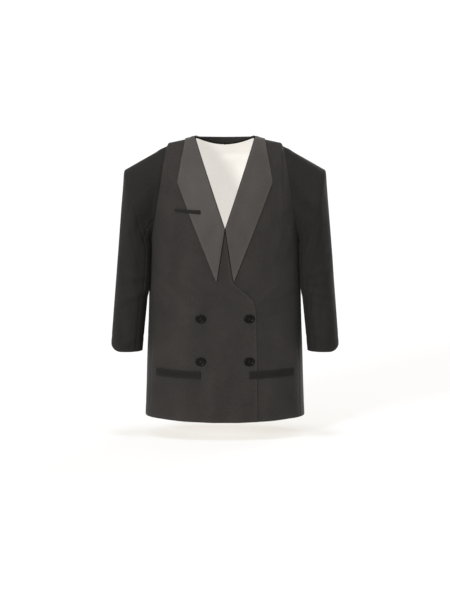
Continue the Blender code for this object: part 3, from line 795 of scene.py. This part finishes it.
Ring = namedtuple("Ring", "outerX outerZ innerX innerZ halfDepth forward")
sleeve = {
    "rings": (
        Ring(0.1800, -0.0386, 0.1983, -0.2900, 0.0610, 0.000),
        Ring(0.2080, -0.0546, 0.1988, -0.2980, 0.0640, 0.000),
        Ring(0.2360, -0.0708, 0.1994, -0.3070, 0.0665, 0.000),
        Ring(0.2560, -0.0824, 0.1999, -0.3150, 0.0680, 0.001),
        Ring(0.2645, -0.0878, 0.2003, -0.3210, 0.0685, 0.001),
        Ring(0.2672, -0.0980, 0.2007, -0.3280, 0.0690, 0.002),
        Ring(0.2690, -0.1250, 0.2012, -0.3400, 0.0695, 0.002),
        Ring(0.2728, -0.1750, 0.2018, -0.3600, 0.0690, 0.003),
        Ring(0.2774, -0.2350, 0.2024, -0.3850, 0.0670, 0.004),
        Ring(0.2820, -0.2950, 0.2030, -0.4100, 0.0640, 0.006),
        Ring(0.2866, -0.3550, 0.2058, -0.4380, 0.0600, 0.009),
        Ring(0.2912, -0.4150, 0.2088, -0.4680, 0.0560, 0.013),
        Ring(0.2954, -0.4700, 0.2118, -0.4980, 0.0520, 0.018),
        Ring(0.2992, -0.5200, 0.2150, -0.5320, 0.0480, 0.022),
        Ring(0.3022, -0.5630, 0.2178, -0.5630, 0.0450, 0.026),
    ),
    "blendRings": 4,
    "roundness": 0.92,
    "holeHalfDepth": 0.060,
    "cuffCorner": 0.026,
    "cuffRise": 0.0080,
    "cuffTurn": 0.0050,
    "span": 125,
    "spanEase": 10,         # the seams come down from the armhole in a curve
    "easeRings": 6,
    "stepsPerRing": 8,
    "upperColumns": 72,
    "underColumns": 34,
    "aroundScale": 0.055,   # metres of cloth for each radian, for the folds
    "capRope": 0.0012,      # the sleeve head stands a little proud of the armhole
    "ropeRing": (0.55, 0.35),
    "hemTurn": 0.036,
    "middle": (0.24, -0.01, 0.0),
    # each pair below is where something starts and over how much it grows
    "sink": 0.0013,         # the armhole's edge lies into the body, away from the shoulder
    "sinkShare": (0.02, 0.2),
    "press": 0.009,
    "pressShare": (0.62, 0.2),
    "pressTop": (0.262, 0.03),      # measured downwards
    "pressFoot": (-0.425, 0.04),    # and upwards
    "bodyGap": 0.0012,
    "insideDegrees": (108, 30),
    "foldRings": (0.6, 2.2),
    "topPull": 0.4,
    "sidePullRings": 1.5,
}

# x is the place round the sleeve in degrees: 0 outside, 90 front, 180 inside, -90 back
sleeveFolds = (
    Fold(96, -0.352, -18, 0.110, 0.0085, 0.0022, 2.0),
    Fold(118, -0.378, -6, 0.100, 0.0075, 0.0026, -1.5),
    Fold(104, -0.404, 10, 0.110, 0.0080, 0.0022, 1.8),
    Fold(84, -0.432, 17, 0.090, 0.0085, 0.0015, -1.2),
    Fold(70, -0.300, -30, 0.090, 0.0110, 0.0014, 1.0),
    Fold(96, -0.212, 60, 0.110, 0.0150, 0.0020, 0.8),
    Fold(76, -0.165, 68, 0.110, 0.0150, 0.0019, -0.7),
    Fold(60, -0.480, 84, 0.110, 0.0140, 0.0012, 0.4),
    Fold(100, -0.520, 22, 0.070, 0.0095, 0.0013, 0.9),
    Fold(-92, -0.345, 12, 0.100, 0.0110, 0.0018, 1.4),
    Fold(-110, -0.388, -8, 0.110, 0.0100, 0.0023, -1.8),
    Fold(-96, -0.425, 6, 0.090, 0.0110, 0.0017, 1.1),
    Fold(-85, -0.200, 96, 0.170, 0.0150, 0.0026, 0.5),
    Fold(-112, -0.245, 72, 0.120, 0.0120, 0.0022, -0.8),
    Fold(20, -0.260, 88, 0.180, 0.0150, 0.0012, 0.3),
)
# the right sleeve's folds: each is shifted a little, so that the two sleeves aren't mirror images
sleeveShift = {"degrees": -7.0, "z": 0.011, "angle": 7.0, "length": 1.12, "depth": 0.9}


def wrapped(degrees):
    return (degrees + 180.0) % 360.0 - 180.0


def sleeveFoldHeight(degrees, z, side):
    total = 0 * z
    for number, fold in enumerate(sleeveFolds):
        if side < 0:
            swing = 1 if number % 2 else -1
            fold = fold._replace(
                x=fold.x + swing * sleeveShift["degrees"], z=fold.z + swing * sleeveShift["z"],
                angle=fold.angle + sleeveShift["angle"], length=fold.length * sleeveShift["length"],
                depth=fold.depth * sleeveShift["depth"],
            )
        across = np.radians(wrapped(degrees - fold.x)) * sleeve["aroundScale"]
        total = total + foldHeight(across, z, (fold._replace(x=0.0),))
    # no fold swells on the inner side, next to the body
    inside = ramp(np.abs(wrapped(degrees)), *sleeve["insideDegrees"])
    return total * (1 - inside) + np.minimum(total, 0) * inside


# sleeve: from the armhole's oval through the table's rings, each an oval between its outer and inner point
def sleeveSurface(degrees, ring):
    angle = np.radians(degrees)
    rings = sleeve["rings"]
    numbers = np.arange(1, len(rings) + 1)
    at = np.maximum(ring, 1.0)
    size = {key: alongTable(numbers, [getattr(r, key) for r in rings], at) for key in Ring._fields}
    across = (1 + np.cos(angle)) / 2
    x = size["innerX"] + (size["outerX"] - size["innerX"]) * across
    z = size["innerZ"] + (size["outerZ"] - size["innerZ"]) * across
    share = (1 - np.cos(angle)) / 2
    holeX, holeZ = armholePoint(share)
    holeX = np.minimum(holeX, body["armholeBottom"][0] - 1e-6)
    front = bodyForm(turnAt(holeX, False), holeZ, False)
    rear = bodyForm(turnAt(holeX, True), holeZ, True)
    hole = np.where((np.sin(angle) >= 0)[..., None], front, rear)
    plane = np.subtract(body["armholeBottom"], body["armholeTop"])
    outwards = unit(np.array([-plane[1], 0.0, plane[0]]))
    gap = cloth["seamGap"] - sleeve["sink"] * ramp(share, *sleeve["sinkShare"])
    swing = np.sign(np.sin(angle)) * np.abs(np.sin(angle)) ** sleeve["roundness"]
    blend = smoothstep(at / sleeve["blendRings"])
    y = hole[..., 1] * size["halfDepth"] / sleeve["holeHalfDepth"] * (1 - blend)
    y = y + (-size["forward"] - size["halfDepth"] * swing) * blend
    # the cuff's hem rises and turns in towards the outer side, where its corner is rounded
    corner = np.maximum(x - (rings[-1].outerX - sleeve["cuffCorner"]), 0) / sleeve["cuffCorner"]
    last = np.clip(ring - (len(rings) - 1), 0, 1)
    z = z + sleeve["cuffRise"] * corner**2 * last**2
    x = x - sleeve["cuffTurn"] * corner**2 * last**6
    # the inner side is pressed flat against the body, from the underarm down to the elbow
    pressed = ramp(share, *sleeve["pressShare"]) * ramp(-z, *sleeve["pressTop"]) * ramp(z, *sleeve["pressFoot"])
    depth = bodySize("front", z) * (y < 0) + bodySize("back", z) * (y >= 0)
    power = body["frontPower"] * (y < 0) + body["backPower"] * (y >= 0)
    inside = np.clip(1 - np.abs(y / depth) ** power, 0, 1) ** (1 / power)
    beside = bodySize("halfWidth", z) * inside + sleeve["bodyGap"]
    x = np.maximum(x - sleeve["press"] * pressed, np.minimum(x, beside))
    start = hole + outwards * gap[..., None]
    near = np.clip(ring, 0, 1)[..., None]
    return start * (1 - near) + np.stack([x, y, z], axis=-1) * near


def sleeveGrid(side):
    count = len(sleeve["rings"])
    ring = np.linspace(0, count, count * sleeve["stepsPerRing"] + 1)[:, None]
    span = sleeve["span"] - sleeve["spanEase"] * (1 - smoothstep(ring / sleeve["easeRings"]))
    upper = span * np.linspace(-1, 1, sleeve["upperColumns"] + 1)[None, :]
    under = span + (360 - 2 * span) * np.linspace(0, 1, sleeve["underColumns"] + 1)[None, :]
    grids = {}
    for piece, degrees in (("upper", upper), ("under", under)):
        pad = np.hstack([degrees[:, :1] - 1.0, degrees, degrees[:, -1:] + 1.0])
        plain = sleeveSurface(pad, ring + 0 * pad)
        normal = unit(np.cross(np.gradient(plain, axis=1), np.gradient(plain, axis=0)))
        normal = normal * np.sign(np.sum(normal * (plain - sleeve["middle"]) * (1, 1, 0)))
        plain, normal = plain[:, 1:-1], normal[:, 1:-1]
        # no fold lies on the armhole, so that the two cloths meet there
        lift = sleeveFoldHeight(degrees, plain[..., 2], side) * ramp(ring, *sleeve["foldRings"])
        outside = smoothstep((1 + np.cos(np.radians(degrees))) / 2 * 1.6 - 0.4)
        rope, ropeWidth = sleeve["ropeRing"]
        lift = lift + sleeve["capRope"] * outside * bell(ring - rope, ropeWidth)
        lift = lift + hemPress(plain[..., 2], sleeve["rings"][-1].outerZ + sleeve["hemTurn"])
        lift = lift + seamPull(plain, ("top",)) * outside * sleeve["topPull"]
        lift = lift + seamPull(plain, ("first", "last")) * smoothstep(ring / sleeve["sidePullRings"])
        outer = plain + normal * lift[..., None]
        unrolled = np.stack([np.radians(degrees) * sleeve["aroundScale"], 0 * degrees, plain[..., 2]], axis=-1)
        mirror = np.array([side, 1, 1])
        grids[piece] = (outer * mirror, normal * mirror, unrolled * mirror)
    return grids


def makeSleeves():
    reach, seam = cloth["rimReach"], cloth["seamReach"]
    for side, word in sides:
        for piece, (outer, normal, unrolled) in sleeveGrid(side).items():
            edges = (-seam, reach, seam, seam)
            makeCloth(f"{piece}_sleeve_{word}", outer, normal, edges, "sleeve", ("bottom",), unfolded=unrolled)


makeSleeves()
print("blazer: sleeves set")


lapel = {
    "tip": (0.021, -0.366),
    "tipWidth": 0.003,
    "corner": (0.125, -0.110),
    "topOuter": 0.105,
    "rowStep": 0.004,
    "columns": 44,
    "onRidge": 0.05,
    "overRidge": 0.008,    # its top rows are closer together, where it bends over the shoulder line
    "ridgeRows": 9,
    "roll": 0.0034,        # how far the rolled inner edge stands out
    "ridgeRoll": 0.0012,   # and how far at the shoulder line
    "rollWidth": 0.016,
    "revealRun": 0.02,
    "edgeReveal": 0.0020,  # the front's own edge shows beyond the roll along the V
    "edgeLift": 0.0009,
    "liftWidth": 0.010,
    "belly": 0.0012,
    "leastWidth": 0.004,
    "tipFade": 0.1,        # roll and belly fade out over this height above the tip
    "ridgeFade": 0.05,
}


def lapelOuterAt(height):
    heights = (lapel["tip"][1], lapel["corner"][1], 0.0)
    return np.interp(height, heights, (lapel["tip"][0] + lapel["tipWidth"], lapel["corner"][0], lapel["topOuter"]))


def lapelInnerAt(height):
    heights = (lapel["tip"][1], opening["bottom"], 0.0)
    line = np.interp(height, heights, (lapel["tip"][0] + opening["sideGap"], opening["sideGap"], body["neckHalf"]))
    return line + lapel["edgeReveal"] * ramp(height, opening["bottom"], lapel["revealRun"])


# lapel: lies on its front, rolled up along the V, with a soft belly and a free edge that lifts a little
def makeLapel(side, word):
    stops = (0.0, lapel["corner"][1], opening["bottom"], lapel["tip"][1])
    heights = rowsBetween(stops, lapel["rowStep"])
    overRidge = lapel["overRidge"] * np.linspace(0, 1, lapel["ridgeRows"])[:-1] ** 2
    heights = np.concatenate([-overRidge, heights[heights < -lapel["overRidge"]]])
    column = crowded(lapel["columns"], 0.6)[None, :]
    inner, outerEdge = lapelInnerAt(heights)[:, None], lapelOuterAt(heights)[:, None]
    x = inner + (outerEdge - inner) * column
    onRidge = np.clip(1 + heights / lapel["onRidge"], 0, 1)[:, None]
    height = heights[:, None] + ridgeHeight(x, False) * onRidge
    turn = turnAt(x, False)
    fromInner, fromOuter = x - inner, outerEdge - x
    aboveTip = np.clip((heights[:, None] - lapel["tip"][1]) / lapel["tipFade"], 0, 1)
    offRidge = smoothstep(-heights / lapel["ridgeFade"])[:, None]
    rollSize = (lapel["ridgeRoll"] + (lapel["roll"] - lapel["ridgeRoll"]) * offRidge) * aboveTip
    roll = rollSize * bell(fromInner, lapel["rollWidth"])
    free = lapel["edgeLift"] * bell(fromOuter, lapel["liftWidth"]) * offRidge
    width = np.maximum(outerEdge - inner, lapel["leastWidth"])
    belly = lapel["belly"] * np.sin(math.pi * np.clip(fromInner / width, 0, 1)) * offRidge * aboveTip
    lift = cloth["thick"] + cloth["layGap"] + roll + free + belly
    outer, normal = onBody(turn * side, height, False, lift, over=side < 0)
    reach = cloth["rimReach"]
    edges = (reach + cloth["seamGap"] / 2, reach, reach, reach)
    return makeCloth("lapel_" + word, outer, normal, edges, "facing", ("last", "bottom"))


lapelGrids = {word: makeLapel(side, word) for side, word in sides}
print("blazer: lapels rolled")


collar = {
    "height": 0.0165,
    "endHeight": 0.0042,
    "levelHalf": 0.066,
    "fall": 0.025,
    "fold": 0.0026,
    "aboveSeam": 0.0007,
    "spring": 0.0010,
    "settling": 2.2,
    "fallShares": (0.22, 0.45, 0.7, 1.0),
    "columns": 121,
    "rows": 49,
}


# collar: a stand that rises from the neck seam, folds over and falls on the back, carried round the nape
def makeCollar():
    angle = np.radians(np.linspace(-90, 90, collar["columns"]))
    sine, cosine = np.sin(angle), np.cos(angle)
    neckX = body["neckHalf"] * sine
    neckHeight = ridgeHeight(neckX, True) - body["neckDip"] * cosine**2
    neckLine = bodyForm(turnAt(neckX, True), neckHeight, True)
    edgeX = lapel["topOuter"] * sine
    edgeDrop = (body["neckDip"] + collar["fall"]) * cosine**2
    arch = np.clip(1 - (neckX / collar["levelHalf"]) ** 2, 0, 1)
    tall = collar["endHeight"] + (collar["height"] - collar["endHeight"]) * arch
    out = unit(np.stack([sine, cosine, 0 * angle], axis=-1))
    up = np.array([0.0, 0.0, 1.0])
    low, fold, thick = collar["aboveSeam"], collar["fold"], cloth["thick"]

    def leaf(sideways, share, lower=0.0):
        return neckLine + out * sideways + up * (low + (tall - low) * share - lower)[:, None]

    lines = [
        leaf(-thick / 2, 0.0),
        leaf(-thick / 2, 0.5, fold / 2),
        leaf(-thick / 2, 1.0, fold),
        leaf(fold * 0.35, 1.0, thick / 2),
        leaf(fold * 1.1, 1.0, fold * 0.9),
    ]
    for share in collar["fallShares"]:
        x = neckX + (edgeX - neckX) * share
        drop = body["neckDip"] * cosine**2 * (1 - share) + edgeDrop * share
        lift = thick / 2 + cloth["layGap"] + collar["spring"] * (1 - share)
        point, _ = onBody(turnAt(x, True), ridgeHeight(x, True) - drop, True, lift)
        raiseBy = (tall - fold * 0.9) * (1 - share) ** collar["settling"]
        lines.append(point + up * raiseBy[:, None])
    lines = np.stack(lines)
    places = np.arange(len(lines), dtype=float)
    at = np.linspace(0, len(lines) - 1, collar["rows"])
    flat = lines.reshape(len(lines), -1)
    middle = alongTable(places, flat, at).reshape(len(at), -1, 3)
    normal = unit(np.cross(np.gradient(middle, axis=1), np.gradient(middle, axis=0)))
    normal[:, 0] = unit(normal[:, 0] * (1, 0, 1))
    normal[:, -1] = unit(normal[:, -1] * (1, 0, 1))
    middle[:, 0, 1] = cloth["seamGap"] / 2 + cloth["rimReach"]
    middle[:, -1, 1] = cloth["seamGap"] / 2 + cloth["rimReach"]
    outer = middle + normal * thick / 2
    makeCloth("collar", outer, normal, (0, 0, 0, 0), "suiting", ("bottom",))


makeCollar()
print("blazer: collar turned")


Strip = namedtuple("Strip", "outerX outerTop outerBottom innerX innerTop innerBottom")
pocket = {
    "strip": Strip(0.1800, -0.6030, -0.6235, 0.0640, -0.6060, -0.6260),
    "thick": 0.002,
    "overEdge": (0.022, 0.012),
    "puff": 0.0007,
    "columns": 90,
    "rows": 18,
}
welt = {
    "strip": Strip(0.1325, -0.1780, -0.1860, 0.0637, -0.1800, -0.1910),
    "overLapel": (0.010, 0.007),
}


# a strip's points between its two slanting ends
def stripGrid(strip, columns, rows):
    column, row = crowded(columns)[None, :], crowded(rows)[:, None]
    x = strip.innerX + (strip.outerX - strip.innerX) * column + 0 * row
    top = strip.innerTop + (strip.outerTop - strip.innerTop) * column
    bottom = strip.innerBottom + (strip.outerBottom - strip.innerBottom) * column
    return x, top + (bottom - top) * row, np.sin(math.pi * row)


def makeStrip(name, strip, side, extra, over):
    x, height, puff = stripGrid(strip, pocket["columns"], pocket["rows"])
    lift = pocket["thick"] + cloth["layGap"] + extra(x, height) + pocket["puff"] * puff
    outer, normal = onBody(turnOnFront(x, height) * side, height, False, lift, over)
    # the strips are cut from the pocket twill, which is painted darker as shade against the key light
    return makeCloth(
        name, outer, normal, (cloth["rimReach"],) * 4, "pocket", ("top", "bottom", "first", "last"),
        thick=pocket["thick"],
    )


def overEdge(x, height):
    reach, run = pocket["overEdge"]
    return opening["lapLift"] * smoothstep((opening["lapWidth"] + reach - x) / run)


def overLapel(x, height):
    reach, run = welt["overLapel"]
    ramp = smoothstep((lapelOuterAt(height) + reach - x) / run)
    return (cloth["thick"] + cloth["layGap"] + lapel["edgeLift"] + lapel["belly"]) * ramp


stripGrids = {
    "pocket_left": makeStrip("pocket_left", pocket["strip"], 1, overEdge, False),
    "pocket_right": makeStrip("pocket_right", pocket["strip"], -1, lambda x, height: 0 * x, True),
    "breast_welt": makeStrip("breast_welt", welt["strip"], -1, overLapel, True),
}
print("blazer: pockets and welt laid")


button = {
    "radius": 0.014,
    "thick": 0.0042,
    "side": 0.0633,
    "heights": {"upper": -0.4665, "lower": -0.580},
    "holeAt": 0.0024,
    "holeRadius": 0.0011,
    "holeDepth": 0.0024,
    "around": 112,
    # the face, in shares of the radius and of the thickness
    "innerRings": (0.42, 34),
    "outerRings": (1.0, 26),
    "well": 0.70,
    "rimRise": 0.30,
    "rimRamp": (0.60, 0.20),
    "edgeFall": 0.45,
    "edgeRamp": (0.86, 0.14),
    "threadRadius": 0.00028,
    "threadSteps": 15,
    "threadSides": 8,
    "threadSink": 0.0012,
    "threadArch": 0.0017,
    "strands": (-1.6, 0, 1.6),
}


# button: a dished face with a raised rim, a rounded side and a flat back, turned about its axis, with 4 holes
def buttonSurface():
    radius, thick = button["radius"], button["thick"]
    inner, outer = button["innerRings"], button["outerRings"]
    share = np.concatenate([np.linspace(0, *inner), np.linspace(inner[0], *outer)[1:]])
    start, run = button["edgeRamp"]
    faceZ = button["well"] + button["rimRise"] * ramp(share, *button["rimRamp"])
    faceZ = faceZ - button["edgeFall"] * np.clip((share - start) / run, 0, 1) ** 2
    bend = np.linspace(0, math.pi / 2, 9)[1:]
    r = np.concatenate([share, 0.90 + 0.10 * np.cos(bend), np.linspace(0.9, 0, 4)[1:]])
    z = np.concatenate([faceZ, (1 - button["edgeFall"]) * (1 - np.sin(bend)), np.zeros(3)])
    angle = np.linspace(0, 2 * math.pi, button["around"], endpoint=False)
    x = radius * r[:, None] * np.cos(angle)[None, :]
    y = radius * r[:, None] * np.sin(angle)[None, :]
    z = thick * z[:, None] + 0 * x
    onFace = (np.arange(len(r)) < len(share))[:, None]
    away = np.hypot(np.abs(x) - button["holeAt"], np.abs(y) - button["holeAt"])
    hole = 1 - smoothstep((away - button["holeRadius"] * 0.8) / (button["holeRadius"] * 0.4))
    return np.stack([x, y, z - button["holeDepth"] * hole * onFace], axis=-1)


# faces of a turned grid: rows joined up around, with the first and last row closed to a point
def turnedFaces(rows, columns):
    index = np.arange(rows * columns).reshape(rows, columns)
    nextOne = np.roll(index, -1, axis=1)
    return np.stack([index[:-1], index[1:], nextOne[1:], nextOne[:-1]], axis=-1).reshape(-1, 4)


# several sets of points with their faces, as one
def joined(parts):
    starts = np.cumsum([0] + [len(points) for points, _ in parts[:-1]])
    faces = [quads + start for (_, quads), start in zip(parts, starts)]
    return np.concatenate([points for points, _ in parts]), np.concatenate(faces)


# a tube of one radius along a path: rings square to the path, closed with small end caps
def tubeSurface(path, radius, sides, upward):
    along = unit(np.gradient(path, axis=0))
    sideways = unit(np.cross(along, upward))
    outwards = np.cross(sideways, along)
    ends = np.sin(np.linspace(0, math.pi, len(path))) ** 0.35
    angle = np.linspace(0, 2 * math.pi, sides, endpoint=False)
    ring = sideways[:, None] * np.cos(angle)[None, :, None] + outwards[:, None] * np.sin(angle)[None, :, None]
    return path[:, None] + ring * (radius * ends)[:, None, None]


# a mesh with its poles closed and every face turned outward
def outwardMesh(name, points, faces, finish):
    piece = addMesh(name, points, faces, finish)
    mesh = bmesh.new()
    mesh.from_mesh(piece.data)
    bmesh.ops.remove_doubles(mesh, verts=mesh.verts, dist=1e-7)
    bmesh.ops.recalc_face_normals(mesh, faces=mesh.faces)
    mesh.to_mesh(piece.data)
    mesh.free()
    piece.data.shade_smooth()
    return piece


def makeButtons():
    local = buttonSurface()
    rows, columns = local.shape[:2]
    for level, height in button["heights"].items():
        for side, word in sides[::-1]:
            x, tall = np.array([button["side"] * side]), np.array([height])
            place, normal = onBody(turnOnFront(x, tall), tall, False, cloth["layGap"], over=True)
            place, normal = place[0], normal[0]
            across = unit(np.cross([0.0, 0.0, 1.0], normal))
            frameOf = np.stack([across, np.cross(normal, across), normal])
            name = f"button_{level}_{word}"
            points = place + local.reshape(-1, 3) @ frameOf
            piece = outwardMesh(name + "_horn", points, turnedFaces(rows, columns), horn)
            placePiece(piece, [name])
            makeButtonThread(name, place, frameOf)


# two bundles of thread, each over one pair of holes
def makeButtonThread(name, place, frameOf):
    at, radius = button["holeAt"], button["threadRadius"]
    share = np.linspace(0, 1, button["threadSteps"])
    arch = np.sin(math.pi * share) ** 0.5
    parts = []
    for row in (-1, 1):
        for strand in button["strands"]:
            path = np.stack([
                at * (2 * share - 1), row * at + strand * radius * (0.6 + 0.4 * arch),
                button["thick"] * button["well"] - button["threadSink"] + button["threadArch"] * arch,
            ], axis=-1)
            tube = tubeSurface(path, radius, button["threadSides"], np.array([0.0, 1.0, 0.0]))
            parts.append((tube.reshape(-1, 3) @ frameOf + place, turnedFaces(*tube.shape[:2])))
    piece = outwardMesh(name + "_thread", *joined(parts), sewingThread)
    placePiece(piece)


makeButtons()
print("blazer: buttons sewn on")


stitch = {
    "spacing": 0.0055,
    "length": 0.0022,
    "radius": 0.00022,
    "rows": 7,
    "sides": 6,
    "inset": 0.0045,
    "stripInset": 0.0022,
    "stripSpacing": 0.0042,
    "tipRows": 8,           # rows of the lapel's grid left free of stitches at its tip
}


# a row of short stitches: one small spindle, repeated at even steps of a line, along it or across it
def stitchRow(line, normals, spacing, size=(stitch["length"], stitch["radius"]), across=False):
    steps = np.linalg.norm(np.diff(line, axis=0), axis=-1)
    length = np.concatenate([[0.0], np.cumsum(steps)])
    at = np.arange(spacing, length[-1] - spacing, spacing)

    def follow(values, at):
        return np.stack([np.interp(at, length, values[:, k]) for k in range(3)], axis=-1)

    centre, up = follow(line, at), unit(follow(normals, at))
    along = unit(follow(line, at + 1e-3) - centre)
    aside = np.cross(along, up)
    if across:
        along, aside = aside, along
    share = np.linspace(-1, 1, stitch["rows"])
    angle = np.linspace(0, 2 * math.pi, stitch["sides"], endpoint=False)
    swell = np.sqrt(np.maximum(1 - share**2, 0.0)) * size[1]
    ring = aside[:, None] * np.cos(angle)[None, :, None] + up[:, None] * np.sin(angle)[None, :, None]
    points = (
        centre[:, None, None] + along[:, None, None] * (share * size[0] / 2)[None, :, None, None]
        + ring[:, None] * swell[None, :, None, None]
    )
    each = stitch["rows"] * stitch["sides"]
    faces = turnedFaces(stitch["rows"], stitch["sides"])[None] + (np.arange(len(at)) * each)[:, None, None]
    return points.reshape(-1, 3), faces.reshape(-1, 4)


def makeStitches(name, rows):
    piece = outwardMesh(name, *joined([stitchRow(*row) for row in rows]), sewingThread)
    placePiece(piece)


# a line inside a grid's border, at the stitches' inset from it
def insetLine(outer, normal, border, inset):
    if border in ("first", "last"):
        outer, normal = np.swapaxes(outer, 0, 1), np.swapaxes(normal, 0, 1)
    if border in ("last", "bottom"):
        outer, normal = outer[::-1], normal[::-1]
    steps = np.cumsum(np.linalg.norm(np.diff(outer, axis=0), axis=-1), axis=0)
    steps = np.vstack([np.zeros((1, outer.shape[1])), steps])
    k = np.clip(np.sum(steps < inset, axis=0), 1, len(steps) - 1)
    j = np.arange(outer.shape[1])
    share = np.clip((inset - steps[k - 1, j]) / np.maximum(steps[k, j] - steps[k - 1, j], 1e-9), 0, 1)[:, None]
    line = outer[k - 1, j] * (1 - share) + outer[k, j] * share
    return line, normal[k, j]


# one row along a panel's border, between two rows of its grid
def stitchBorder(name, grids, border, rows):
    line, up = insetLine(*grids, border, stitch["inset"])
    makeStitches(name + "_stitches", [(line[rows], up[rows], stitch["spacing"])])


def stitchStrip(name, grids):
    rows = [insetLine(*grids, border, stitch["stripInset"]) for border in ("top", "bottom")]
    makeStitches(name + "_stitches", [row + (stitch["stripSpacing"],) for row in rows])


buttonhole = {
    "outer": 0.0668,
    "inner": 0.0385,
    "points": 40,
    "spacing": 0.0009,
    "halfGap": 0.0011,
    "lift": 0.0001,
    "thread": (0.0020, 0.00032),    # length and radius of one stitch
}


# a worked buttonhole at a button of the left column: two rows of short stitches across a closed slit
def makeButtonhole(level, height):
    x = np.linspace(buttonhole["inner"], buttonhole["outer"], buttonhole["points"])
    rows = []
    for offset in (-buttonhole["halfGap"], buttonhole["halfGap"]):
        tall = height + offset + 0 * x
        place, normal = onBody(turnOnFront(x, tall), tall, False, buttonhole["lift"], over=True)
        rows.append((place, normal, buttonhole["spacing"], buttonhole["thread"], True))
    makeStitches(f"buttonhole_{level}_stitches", rows)


for word, grids in lapelGrids.items():
    stitchBorder("lapel_" + word, grids, "last", slice(-stitch["tipRows"]))
for name, grids in stripGrids.items():
    stitchStrip(name, grids)
for level, height in button["heights"].items():
    makeButtonhole(level, height)
stitchBorder("front_right", frontGrids["right"], "first", slice(panels["upperRows"], None))
print("blazer: edges stitched")


Sun = namedtuple("Sun", "name direction strength softness")
stage = {
    "floor": -0.788,
    "floorHalf": 60.0,
    "floorBase": (0.250, 0.280, 0.330, 1.0),
    "floorGlow": (0.678, 0.630, 0.551, 1.0),
    "sky": 0.75,
    "suns": (
        Sun("key", (-0.46, -0.88, 0.32), 2.6, 12.0),
        Sun("overhead", (0.0, -0.03, 1.0), 1.2, 16.0),
        Sun("behind", (0.50, 0.82, 0.24), 1.5, 24.0),
    ),
}


def makeFloor():
    half, low = stage["floorHalf"], stage["floor"]
    points = np.array([(-half, -half, low), (half, -half, low), (half, half, low), (-half, half, low)])
    paper = Finish("pale floor", 1.0, 0.0)
    paper.set("Base Color", stage["floorBase"])
    paper.set("Emission Color", stage["floorGlow"])
    paper.set("Emission Strength", 1.0)
    floor = addMesh("pale_floor", points, np.array([[0, 1, 2, 3]]), paper.material)


def addSun(sun):
    light = bpy.data.lights.new(sun.name, "SUN")
    light.energy = sun.strength
    light.angle = math.radians(sun.softness)
    x, y, z = sun.direction
    addObject(sun.name, light).rotation_euler = (math.atan2(math.hypot(x, y), z), 0, math.atan2(x, -y))


camera = {"lens": 400.0, "distance": 17.650, "elevation": 8.0, "target": (0.0, 0.0, -0.4337)}


def addCamera():
    data = bpy.data.cameras.new("camera")
    data.lens = camera["lens"]
    data.clip_end = 200.0
    view = addObject("camera", data)
    tilt = math.radians(camera["elevation"])
    x, y, z = camera["target"]
    distance = camera["distance"]
    view.location = (x, y - distance * math.cos(tilt), z + distance * math.sin(tilt))
    view.rotation_euler = (math.pi / 2 - tilt, 0, 0)
    bpy.context.scene.camera = view


def addStage():
    world = bpy.data.worlds.new("studio")
    world.use_nodes = True
    background = world.node_tree.nodes["Background"]
    background.inputs["Color"].default_value = (1.0, 1.0, 1.0, 1.0)
    background.inputs["Strength"].default_value = stage["sky"]
    scene = bpy.context.scene
    scene.world = world
    scene.view_settings.view_transform = "Standard"
    scene.view_settings.look = "None"
    for sun in stage["suns"]:
        addSun(sun)
    makeFloor()
    addCamera()


addStage()
print("blazer: stage lit")
